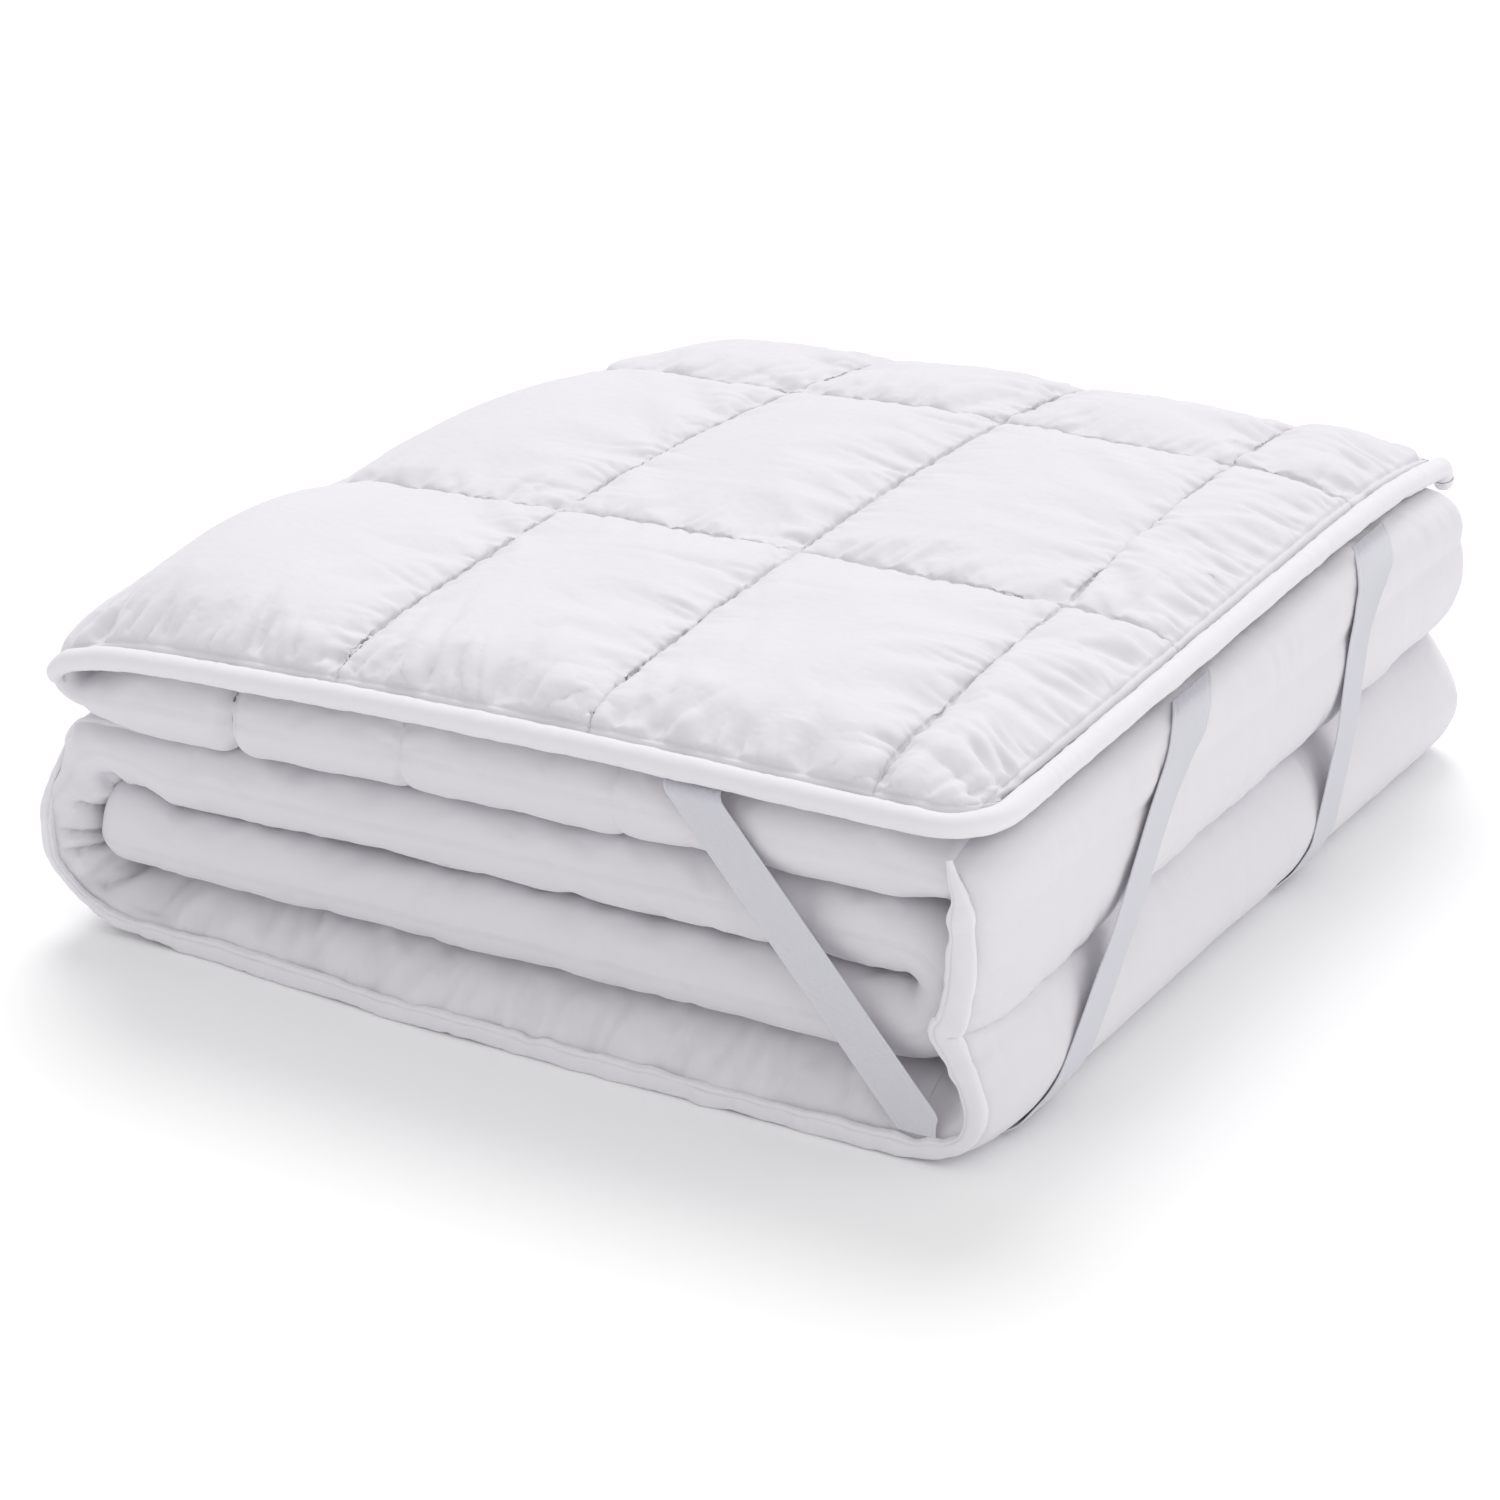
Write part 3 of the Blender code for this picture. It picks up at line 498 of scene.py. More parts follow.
def gatherCloth(points, pinned, growth, plan, seed):
    # Blender's cloth on an open grid, held along its seams, grown where growth is 1, filled from inside;
    # gives each point's move
    rows, columns = points.shape[:2]
    normal = np.cross(np.gradient(points, axis=0), np.gradient(points, axis=1))
    normal /= np.maximum(1e-12, np.linalg.norm(normal, axis=-1, keepdims=True))
    rough = np.random.default_rng(seed).normal(0, 0.00012, (rows, columns)) * ~pinned
    mesh = bpy.data.meshes.new("clothSheet")
    start = points + normal * rough[..., None]
    mesh.from_pydata(start.reshape(-1, 3).tolist(), [], gridQuads(rows, columns, False).tolist())
    sheet = bpy.data.objects.new("clothSheet", mesh)
    bpy.context.scene.collection.objects.link(sheet)
    vertexWeights(sheet, "held", np.where(pinned, 1.0, plan["hold"]))
    vertexWeights(sheet, "plain", 1 - growth)
    cloth = sheet.modifiers.new("cloth", "CLOTH")
    c = cloth.settings
    c.quality, c.mass, c.air_damping = 5, 0.15, 3
    c.tension_stiffness = c.compression_stiffness = 20
    c.shear_stiffness, c.bending_stiffness = 8, plan["bend"]
    c.tension_damping = c.compression_damping = c.shear_damping = 5
    c.vertex_group_mass, c.pin_stiffness = "held", 1.0
    c.shrink_min, c.shrink_max, c.vertex_group_shrink = -plan["grow"], 0.0, "plain"
    c.use_pressure, c.uniform_pressure_force = True, plan["pressure"]
    c.effector_weights.gravity = 0.0
    cloth.collision_settings.use_collision = False
    cloth.collision_settings.use_self_collision = False
    cloth.point_cache.frame_start, cloth.point_cache.frame_end = 1, plan["frames"]
    for at in range(1, plan["frames"] + 1):
        bpy.context.scene.frame_set(at)
    shaped = sheet.evaluated_get(bpy.context.evaluated_depsgraph_get())
    co = np.empty(rows * columns * 3, np.float32)
    shaped.data.vertices.foreach_get("co", co)
    bpy.data.objects.remove(sheet)
    bpy.context.scene.frame_set(1)
    move = co.reshape(rows, columns, 3) - points
    far = np.linalg.norm(move, axis=-1, keepdims=True)
    return plan["share"] * move * np.minimum(1.0, plan["most"] / np.maximum(far, 1e-9))


def simulate(name, lengths, across, pattern, seed, **changes):
    # one stretch of the ply as loose cloth: its grid's lengths and distances across, and each point's move
    began = time.perf_counter()
    points, s, y, front = plyPoints(lengths, across)
    held, growth = pattern(s, y, front)
    held[[0, -1]] = True
    held[:, [0, -1]] = True
    move = gatherCloth(points, held, unit(growth), {**clothPlan, **changes}, seed)
    print("cloth:", name, points.shape[:2], round(time.perf_counter() - began, 1), "s")
    return lengths, across, move


def clothMove(cloths, lengths, across):
    # every cloth's move, read at a piece's own lengths and distances across, and 0 outside it
    total = np.zeros((len(lengths), len(across), 3))
    for clothLengths, clothAcross, move in cloths:
        rows = (lengths > clothLengths[0]) & (lengths < clothLengths[-1])
        columns = (across > clothAcross[0]) & (across < clothAcross[-1])
        if rows.any() and columns.any():
            part = smoothAt(move, clothLengths, lengths[rows])
            part = smoothAt(part.swapaxes(0, 1), clothAcross, across[columns]).swapaxes(0, 1)
            total[np.ix_(rows, columns)] += part
    return total


def plyShape(lengths, quiltedAcross, backingAcross, relief, cloths):
    # the rings of a stretch of the ply with the cloth's move and the relief along their normals, and their uv
    across = ringAcross(quiltedAcross, backingAcross)
    points, s, y, front = plyPoints(lengths, across)
    face = np.sign(across + 1e-9)[None, :] + 0 * s
    points = points + clothMove(cloths, lengths, across)
    points = points + gridNormals(points) * relief(s, y, front, face, points)[..., None]
    points[..., 2] = np.maximum(points[..., 2], 0.0002)
    return points, np.stack([s, y + 0.7 * (face < 0)], axis=-1)


def closedPiece(name, points, uv, finish):
    # a closed piece from rings of points, with a cap at each end
    rows, columns = points.shape[:2]
    caps = [range(columns), range((rows - 1) * columns, rows * columns)]
    thing = makeMesh(name, points, gridQuads(rows, columns), caps, uv)
    facesOut(thing)
    thing.data.materials.append(finishes[finish])
    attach(thing, "root")
    return thing


def plyPiece(name, points, uv):
    # a padded stretch of the ply
    thing = closedPiece(name, points, uv, "shell")
    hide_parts("topper_body")
    return thing


def node(tree, kind, **inputs):
    # a shader node with plain values on its named inputs
    made = tree.nodes.new(kind)
    for key, value in inputs.items():
        made.inputs[key].default_value = value
    return made


def mathNode(tree, operation, *feeds):
    # the output of operation(feeds), where a feed is a number or another node's output
    made = tree.nodes.new("ShaderNodeMath")
    made.operation = operation
    for k, feed in enumerate(feeds):
        if isinstance(feed, float):
            made.inputs[k].default_value = feed
        else:
            tree.links.new(feed, made.inputs[k])
    return made.outputs[0]


def clothGroup():
    # weave height and tint from the piece's own cloth coordinates: crossed threads plus a slow mottle
    group = bpy.data.node_groups.new("clothFinish", "ShaderNodeTree")
    face = group.interface
    for label, kind, value in (
        ("Thread", "Float", 0.0009),
        ("Mottle", "Float", 0.5),
        ("Colour", "Color", (0.8, 0.79, 0.82, 1)),
        ("Shade", "Color", (0.76, 0.75, 0.79, 1)),
    ):
        face.new_socket(label, in_out="INPUT", socket_type="NodeSocket" + kind).default_value = value
    for label, kind in (("Tint", "Color"), ("Height", "Float"), ("Rough", "Float")):
        face.new_socket(label, in_out="OUTPUT", socket_type="NodeSocket" + kind)
    gin, gout = node(group, "NodeGroupInput"), node(group, "NodeGroupOutput")
    link = group.links.new
    uv = group.nodes.new("ShaderNodeUVMap")
    uv.uv_map = "clothUv"
    place = node(group, "ShaderNodeTexCoord")
    split = node(group, "ShaderNodeSeparateXYZ")
    link(uv.outputs["UV"], split.inputs[0])
    waves = []
    for axis in ("X", "Y"):
        threads = mathNode(group, "DIVIDE", split.outputs[axis], gin.outputs["Thread"])
        waves.append(mathNode(group, "SINE", mathNode(group, "MULTIPLY", threads, 2 * math.pi)))
    crossed = mathNode(group, "MULTIPLY", *waves)
    slow = node(group, "ShaderNodeTexNoise", Scale=9.0, Detail=3.0, Roughness=0.55)
    link(place.outputs["Object"], slow.inputs["Vector"])
    fuzz = node(group, "ShaderNodeTexNoise", Scale=420.0, Detail=2.0, Roughness=0.6)
    link(place.outputs["Object"], fuzz.inputs["Vector"])
    height = mathNode(group, "MULTIPLY_ADD", crossed, 0.35, fuzz.outputs["Fac"])
    ramp = node(group, "ShaderNodeMapRange")
    ramp.inputs["From Min"].default_value = 0.35
    ramp.inputs["From Max"].default_value = 0.65
    link(slow.outputs["Fac"], ramp.inputs["Value"])
    amount = mathNode(group, "MULTIPLY", ramp.outputs["Result"], gin.outputs["Mottle"])
    mix = node(group, "ShaderNodeMix")
    mix.data_type = "RGBA"
    link(amount, mix.inputs["Factor"])
    link(gin.outputs["Colour"], mix.inputs[6])
    link(gin.outputs["Shade"], mix.inputs[7])
    rough = node(group, "ShaderNodeMapRange")
    rough.inputs["To Min"].default_value = 0.62
    rough.inputs["To Max"].default_value = 0.80
    link(fuzz.outputs["Fac"], rough.inputs["Value"])
    link(mix.outputs[2], gout.inputs["Tint"])
    link(height, gout.inputs["Height"])
    link(rough.outputs["Result"], gout.inputs["Rough"])
    return group


clothFinish = clothGroup()


def clothMaterial(name, colour, shade, thread, bump, sheen):
    # the shared cloth finish over a matt shader with a little sheen
    material = bpy.data.materials.new(name)
    material.use_nodes = True
    tree = material.node_tree
    shader = tree.nodes["Principled BSDF"]
    shader.inputs["Sheen Weight"].default_value = sheen
    shader.inputs["Sheen Roughness"].default_value = 0.45
    shader.inputs["Specular IOR Level"].default_value = 0.25
    group = tree.nodes.new("ShaderNodeGroup")
    group.node_tree = clothFinish
    group.inputs["Colour"].default_value = (*colour, 1)
    group.inputs["Shade"].default_value = (*shade, 1)
    group.inputs["Thread"].default_value = thread
    bumpNode = tree.nodes.new("ShaderNodeBump")
    bumpNode.inputs["Strength"].default_value = bump
    bumpNode.inputs["Distance"].default_value = 0.0002
    link = tree.links.new
    link(group.outputs["Height"], bumpNode.inputs["Height"])
    link(bumpNode.outputs["Normal"], shader.inputs["Normal"])
    link(group.outputs["Tint"], shader.inputs["Base Color"])
    link(group.outputs["Rough"], shader.inputs["Roughness"])
    return material


finishes = {
    # colour, mottled shade, thread in metres, bump, sheen
    "shell": clothMaterial("whiteShell", (0.745, 0.728, 0.765), (0.73, 0.713, 0.75), 0.0009, 0.35, 0.20),
    "trim": clothMaterial("whiteTrim", (0.80, 0.783, 0.815), (0.785, 0.768, 0.80), 0.0009, 0.35, 0.20),
    "elastic": clothMaterial("ribbedElastic", (0.66, 0.655, 0.71), (0.64, 0.635, 0.69), 0.0007, 0.5, 0.25),
}
print("stage: materials")


body = {
    "step": 0.0016,  # between the points of the top ply
    "clothStep": 0.0027,
    "frontReach": 0.052,  # how far in a front roll is loose cloth
    "secondSeams": (-0.450, -0.339, -0.205),  # quilting seams that show on the second ply's front
    "seamDeeps": (0.0058, 0.0020, 0.0010),  # how far each is drawn in
    "tipCreases": (-0.6, 0.5, 1.6),  # creases at the left fold's tip, in steps of tipStep
    "tipStep": 0.009,
}
# reach and share of the spare cloth: in from the piping, then after and before a seam
spareCloth = {"front": (0.018, 1.0), "right": (0.028, 1.0)}
spareCloth["seamX"] = ((0.030, 1.0), (0.010, 0.7))
spareCloth["seamY"] = ((0.020, 0.9), (0.009, 0.6))
topSeams = [bundle["topRightX"] - x for x in quilt["seamX"][:3]]
secondSeams = [startOf["second"] + (x - bundle["leftFoldX"]) for x in body["secondSeams"]]


def fading(d, reach, amount):
    # amount exp(-d / reach) on the positive side only
    return np.where(d >= 0, amount * np.exp(-np.abs(d) / reach), 0.0)


def topPattern(s, y, front):
    # the quilted face is held on its seams, with spare cloth near them
    held = (front < stitchIn + 0.0004) | (s < stitchIn + 0.0004)
    growth = fading(front - stitchIn, *spareCloth["front"]) + 0.0 * s
    growth = np.maximum(growth, fading(s - stitchIn, *spareCloth["right"]))
    for at, seams, (after, before) in (
        (s, topSeams, spareCloth["seamX"]),
        (y, quilt["seamY"], spareCloth["seamY"]),
    ):
        for seam in seams:
            held |= np.abs(at - seam) < 0.0005
            growth = np.maximum(growth, fading(at - seam, *after))
            growth = np.maximum(growth, fading(seam - at, *before))
    return held, growth * (0.75 + 0.5 * softNoise(s / 0.03, y / 0.03, 77)) + 0.03


def rollPattern(seed, spare, patch, edge=0.0):
    # a front roll is loose round its nose: spare cloth in patches, more at a bound edge
    def pattern(s, y, front):
        held = np.zeros(s.shape, bool)
        growth = spare + patch * unit(1.4 * softNoise(s / 0.045, front / 0.03, seed))
        return held, np.maximum(growth, edge * np.exp(-front / 0.018))

    return pattern


def topRelief(s, y, front, face, points):
    # stitch grooves with puckers from them: across the piping, on the right border, beside every seam
    total = 0.0004 * crumple(s, y, 230, 0.045, 0.9)
    total += groove(front - stitchIn, 0.0007, 0.0012) + groove(s - stitchIn, 0.0007, 0.0012)
    total += np.where(front > stitchIn, gathers(s, front - stitchIn, 200, 2.2, 1.0), 0.0)
    total += np.where(s > stitchIn, gathers(y, s - stitchIn, 205, 1.6, 1.0), 0.0)
    for k, at in enumerate(topSeams):
        total += groove(s - at, 0.0011, 0.0012)
        total += np.where(s > at, 1.15, 0.45) * gathers(y, s - at, 210 + k, 1.0, 0.9)
    for k, at in enumerate(quilt["seamY"]):
        total += groove(y - at, 0.0011, 0.0012)
        total += np.where(y > at, 1.35, 0.45) * gathers(s, y - at, 220 + k, 1.0, 0.9)
    calm = unit((startOf["leftFold"] + 0.02 - s) / 0.02)
    return np.where(face > 0, total * calm, 0.0) + secondRelief(s, y, front, face, points)


def rollRelief(seed, amount, seams=()):
    # soft diagonal creases on a ply's round front, and drawn-in seams across it
    def relief(s, y, front, face, points):
        # three creases run back from the left fold's tip
        tip = 0.5 * (startOf["leftFold"] + endOf["leftFold"])
        creases = sum(
            groove(s - tip - k * body["tipStep"] - 0.35 * k * front, 0.0016, 0.0022)
            for k in body["tipCreases"]
        )
        creases = creases * (face > 0) * np.exp(-((front / 0.03) ** 2)) * unit((front - 0.004) / 0.006)
        loose = unit((s - startOf["leftFold"]) / 0.03)
        soft = 0.0013 * crumple(s, front, seed, 0.032, 1.0) + 0.0006 * crumple(s, front, seed + 9, 0.014, 0.6)
        total = loose * amount * soft + creases
        for k, at in enumerate(seams):
            total += groove(s - at, 0.0060, body["seamDeeps"][k]) + groove(s - at, 0.0016, 0.0006)
            total += gathers(points[..., 2] + 0.5 * front, s - at, seed + 30 + k, 0.55, 0.6)
        return total

    return relief


secondRelief = rollRelief(400, 0.8, secondSeams)


def lowerRelief(s, y, front, face, points):
    # floor ply, big fold and inner plies: puckers from the binding, creases into the fold's inner wall
    bound = unit((endOf["bigFold"] - s) / 0.03)
    total = rollRelief(500, 1.0)(s, y, front, face, points) + bound * gathers(s, front, 550, 1.5, 1.0)
    inFold = unit((s - startOf["bigFold"] + 0.03) / 0.04) * bound * (face > 0)
    away = np.maximum(front, 0.0)
    noise = softNoise((s + 0.35 * away) / 0.015, away / 0.10, 560)
    creases = -unit(1 - 2.2 * np.abs(noise)) ** 1.2 + 0.45 * softNoise(s / 0.03, away / 0.2, 561)
    return total + inFold * 0.0075 * creases * unit((away - 0.001) / 0.005) * np.exp(-away / 0.12)


def sideRelief(s, y, front, face, points):
    # the right side is nearly smooth: faint creases, small puckers at its seams and along the fold line
    z = points[..., 2]
    total = 0.0007 * crumple(z, y, 300, 0.05, 0.7) + 0.00035 * crumple(z, y, 310, 0.02, 0.3)
    puckers = gathers(z, front, 320, 1.0, 0.7) + gathers(y, z - quilt["sideSeamZ"], 330, 0.7, 1.1)
    return total + np.where(face < 0, puckers + gathers(y, z - 0.178, 340, 0.55, 0.8), 0.0)


def rollCloth(name, low, high, pattern, seed):
    # loose cloth round a ply's front, as far in as frontReach on both faces
    inner = np.array([*edgeSteps[:1], 0.001, *edgeSteps[3:4], *edgeSteps[5:6], *edgeSteps[7:]])
    inner = np.concatenate([inner, graded(0.0172, body["frontReach"], body["clothStep"])])
    across = np.concatenate([-inner[:0:-1], inner])
    lengths = graded(low, high, body["clothStep"], [a for a in secondSeams if low < a < high])
    return simulate(name, lengths, across, pattern, seed, most=0.0045, share=0.35)


def simulateCloths():
    # the top between its seams, then the four round fronts
    depth, clothStep = bundle["depth"], body["clothStep"]
    inwards = graded(0.0130, depth - 0.034, clothStep, quilt["seamY"])
    across = np.concatenate([looseSteps, inwards, [depth - d for d in (0.028, 0.022, 0.016, 0.010, 0.006)]])
    along = np.concatenate([looseSteps, graded(0.0130, startOf["leftFold"] + 0.02, clothStep, topSeams)])
    return [
        simulate("top", along, across, topPattern, 5),
        rollCloth("second", endOf["leftFold"], startOf["sideTop"], rollPattern(41, 0.12, 0.5), 6),
        rollCloth("floor", endOf["sideFoot"], endOf["bigFold"], rollPattern(42, 0.20, 0.7, 1.0), 7),
        rollCloth("third", startOf["third"] + 0.01, endOf["third"], rollPattern(43, 0.12, 0.6), 8),
        rollCloth("last", startOf["last"], pathEnd - 0.03, rollPattern(44, 0.12, 0.6), 9),
    ]


cloths = simulateCloths()
print("stage: cloth")

cut1 = secondSeams[0]  # pieces meet in a seam or behind a fold
cut2 = startOf["sideTop"] + 0.001
cut3 = endOf["sideFoot"] + 0.004
step = body["step"]
topLengths = np.concatenate([
    edgeSteps,
    graded(0.0166, startOf["leftFold"] + 0.03, step, topSeams),
    graded(startOf["leftFold"] + 0.0325, cut1, 0.0025),
])
topFine = acrossStations(step, bundle["depth"] - 0.034, step, quilt["seamY"])
hidden = acrossStations(0.003, 0.060, 0.030)
roll = acrossStations(0.0024, 0.062, 0.030)
fineSide = acrossStations(0.0025, bundle["depth"] - 0.034, 0.0025)

endSteps = [0.0195, 0.0165, 0.0135, 0.0108, 0.0083, 0.0060, 0.0041, 0.0026, 0.0014, 0.0006, 0.0]
lowerLengths = np.concatenate([
    graded(cut3, startOf["third"] + 0.06, 0.0022),
    graded(startOf["third"] + 0.0628, pathEnd - 0.0225, 0.0028),
    [pathEnd - d for d in endSteps],
])
topPoints, topUv = plyShape(topLengths, topFine, hidden, topRelief, cloths)
topCuts = [0, *(int(np.argmin(np.abs(topLengths - at))) for at in topSeams[1:]), len(topLengths) - 1]
pieces = [
    plyPiece(f"topper_top_{k + 1}", topPoints[low:high + 1], topUv[low:high + 1])
    for k, (low, high) in enumerate(zip(topCuts, topCuts[1:]))
]
for name, lengths, quiltedAcross, backingAcross, relief in (
    ("topper_second", graded(cut1, cut2, 0.0020, secondSeams[1:]), roll, roll, secondRelief),
    ("topper_side", graded(cut2, cut3, 0.0022), hidden, fineSide, sideRelief),
    ("topper_lower", lowerLengths, roll, roll, lowerRelief),
):
    pieces.append(plyPiece(name, *plyShape(lengths, quiltedAcross, backingAcross, relief, cloths)))
print("stage: body", [len(p.data.polygons) for p in pieces])


def sweep(path, across, profile, relief=None):
    # profile (columns of side, up) carried along the path; side follows `across`, up is forward x side
    forward = np.gradient(path, axis=0)
    forward /= np.linalg.norm(forward, axis=1, keepdims=True)
    side = across - forward * (across * forward).sum(axis=1, keepdims=True)
    side /= np.linalg.norm(side, axis=1, keepdims=True)
    up = np.cross(forward, side)
    points = path[:, None] + side[:, None] * profile[..., 0:1] + up[:, None] * profile[..., 1:2]
    if relief is not None:
        points = points + gridNormals(points) * relief[..., None]
    return points


def pathLengths(path):
    # the length along a polyline at each of its points
    return np.concatenate([[0], np.cumsum(np.linalg.norm(np.diff(path, axis=0), axis=1))])


def resample(points, step):
    # the polyline at even steps of its length, through a smooth Catmull-Rom curve
    p = np.asarray(points, float)
    p = np.concatenate([[2 * p[0] - p[1]], p, [2 * p[-1] - p[-2]]])
    found = []
    for k in range(1, len(p) - 2):
        t = np.linspace(0, 1, 24, endpoint=False)[:, None]
        a, b, c, d = p[k - 1], p[k], p[k + 1], p[k + 2]
        square, cube = 2 * a - 5 * b + 4 * c - d, 3 * b - a - 3 * c + d
        found.append(0.5 * (2 * b + (c - a) * t + square * t**2 + cube * t**3))
    fine = np.concatenate([*found, p[-2:-1]])
    lengths = pathLengths(fine)
    at = np.linspace(0, lengths[-1], max(2, int(lengths[-1] / step)))
    return np.stack([np.interp(at, lengths, fine[:, k]) for k in range(3)], axis=1), at


def boundLine(s, less):
    # the middle of the ply's bound edge, `less` in front of it, and the direction across the ply
    x, z, tx, tz = middleLine(s)
    n, full = edgeMiddle(s), valueAt(s, backingColumn)
    y = frontEdge(s) + valueAt(s, formColumn) * (full - np.sqrt(np.maximum(0.0, full**2 - n**2)))
    return settle(x + tx * n, y - less, z + tz * n), np.stack([tx, 0 * tx, tz], axis=-1)


def trimPiece(name, points, lengths):
    # a swept trim; its cloth coordinates are the length and the way round
    columns = points.shape[1]
    along = lengths[:, None] + np.zeros((1, columns))
    around = 0.05 * np.arange(columns)[None, :] / columns + 0 * along
    return closedPiece(name, points, np.stack([along, around], axis=-1), "trim")


piping = {"radius": 0.0070, "gap": 0.0004, "sides": 40, "step": 0.0015, "foldShare": 0.66, "tail": 0.050}


def buildPiping():
    # a cord in its cover: runs down at the back, along the right edge, round the corner and along the front
    away = piping["radius"] + piping["gap"]
    depth = bundle["depth"]
    x, z = bundle["topRightX"] + away, topZ - sections["top"][edgeColumn]
    down = [(depth + away, z - 0.022), (depth + away, z - 0.013)]
    down += [(depth + away - 0.003, z - 0.005), (depth, z)]
    parts = [settle(np.full(4, x), *np.array(down).T)]
    parts.append(settle(np.full(12, x), np.linspace(depth - 0.012, 0.060, 12), np.full(12, z)))
    turn = bundle["cornerRadius"] + away
    a = np.linspace(0.0, math.pi / 2, 9)
    cornerX = bundle["topRightX"] - bundle["cornerRadius"]
    cornerY = sections["top"][setbackColumn] + bundle["cornerRadius"]
    parts.append(settle(cornerX + turn * np.cos(a), cornerY - turn * np.sin(a), np.full(9, z)))
    low, high = startOf["leftFold"], endOf["leftFold"]
    fold = np.linspace(low, low + piping["foldShare"] * (high - low), 8)
    s = np.concatenate([np.linspace(bundle["cornerRadius"] + 0.03, low - 0.02, 16), fold])
    tucked = unit((s - low - 0.3 * (fold[-1] - low)) / (0.7 * (fold[-1] - low)))
    parts.append(boundLine(s, away - 0.009 * tucked**2)[0])
    path, at = resample(np.concatenate(parts), piping["step"])
    forward = np.gradient(path, axis=0)
    across = np.stack([forward[:, 1], -forward[:, 0], 0 * at], axis=1)
    weak = np.linalg.norm(across[:, :2], axis=1) < 0.35 * np.linalg.norm(forward, axis=1)
    across[weak & (at < 0.1)] = (1, 0, 0)
    across[weak & (at > 0.1)] = across[~weak][-1]
    # both ends thin out like a folded tip
    shrink = (0.12 + 0.88 * nose((at[-1] - at) / piping["tail"])) * (0.5 + 0.5 * nose(at / 0.012))
    angle = np.linspace(0, 2 * math.pi, piping["sides"], endpoint=False)[None, :]
    twist = at[:, None] + 0.007 * angle / math.pi
    slow = 0.00040 * softNoise(twist / 0.019, angle / 2.2, 702)
    marks = 0.00050 * np.abs(softNoise(twist / 0.0075, angle / 2.6, 701)) + slow
    r = piping["radius"] * shrink[:, None] * (1 + (marks - 0.0002) / piping["radius"])
    profile = np.stack([r * np.cos(angle), 0.97 * r * np.sin(angle)], axis=-1)
    return trimPiece("piping_cord", sweep(path, across, profile), at)


pipingPiece = buildPiping()
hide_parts("piping")

binding = {
    "deep": 0.0036,
    "gap": -0.0012,  # the strip is sewn into the ply's edge
    "sides": 60,
    "step": 0.0013,
    "stitchAt": 0.60,  # the stitch line's place across the strip, from -1 at the floor to 1 at the ply
    # up, sideways and half width of the stretch over the side's edge
    "topRise": ((0.034, -0.0075, 0.0022), (0.024, -0.0045, 0.0030), (0.012, -0.0012, 0.0052)),
    "endThin": 0.055,
}


def buildBinding():
    # a flat folded strip along the bound edge: oval section, |sin|^0.7 deep, thinning out round the big fold
    low, high = startOf["side"] + 0.004, endOf["bigFold"] + 0.022
    s = np.linspace(low, high, 170)
    path, across = boundLine(s, binding["deep"] + binding["gap"])
    half = valueAt(s, trimColumn) * np.maximum(0.10, nose((high - s) / binding["endThin"]))
    # above the side's edge the strip narrows and goes up under the piping
    rise = np.array([(r[1], 0.0, r[0]) for r in binding["topRise"]])
    path = np.concatenate([path[0] + rise, path])
    across = np.concatenate([np.repeat(across[:1], len(rise), axis=0), across])
    half = np.concatenate([[r[2] for r in binding["topRise"]], half])
    # the path, its across direction and its half width, all at the same even steps
    lengths = pathLengths(path)
    at = np.linspace(0, lengths[-1], int(lengths[-1] / binding["step"]))
    table = np.concatenate([path, across, half[:, None]], axis=1)[:, None, :]
    table = smoothAt(table, lengths, at)[:, 0]
    path, across, half = table[:, :3], table[:, 3:6], table[:, 6:]
    angle = np.linspace(0, 2 * math.pi, binding["sides"], endpoint=False)[None, :]
    t = at[:, None] + 0 * angle
    place = np.cos(angle)
    faceFront = unit(-3 * np.sin(angle))
    fromStitch = (place - binding["stitchAt"]) * half
    puff = gathers(t, fromStitch, 715, 0.55, 0.55) + 0.0005 * softNoise(t / 0.03, angle / 3, 712)
    puff = puff + faceFront * groove(fromStitch, 0.0006, 0.0009)
    scallop = 0.0013 * softNoise(t / 0.011, 0 * t, 713) * np.maximum(0, place)
    scallop = scallop + 0.0007 * softNoise(t / 0.02, 0 * t, 714)
    oval = np.sign(np.sin(angle)) * np.abs(np.sin(angle)) ** 0.7
    deep = binding["deep"] * np.minimum(1.0, half / 0.0045) * oval
    profile = np.stack([half * place + scallop * unit(half / 0.004), deep + 0 * t], axis=-1)
    points = sweep(path, across, profile, puff * unit(half / 0.004))
    points[..., 2] = np.maximum(points[..., 2], 0.0002)
    return trimPiece("edge_binding_tape", points, at)


bindingPiece = buildBinding()
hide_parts("edge_binding")
print("stage: piping and binding")


elastic = {
    "wide": 0.026,
    "thick": 0.0012,
    "ribs": 21,
    "rib": 0.00010,
    "off": 0.0022,  # how far a side strap's middle lies off the ply
    "mostLean": 1.6,
}
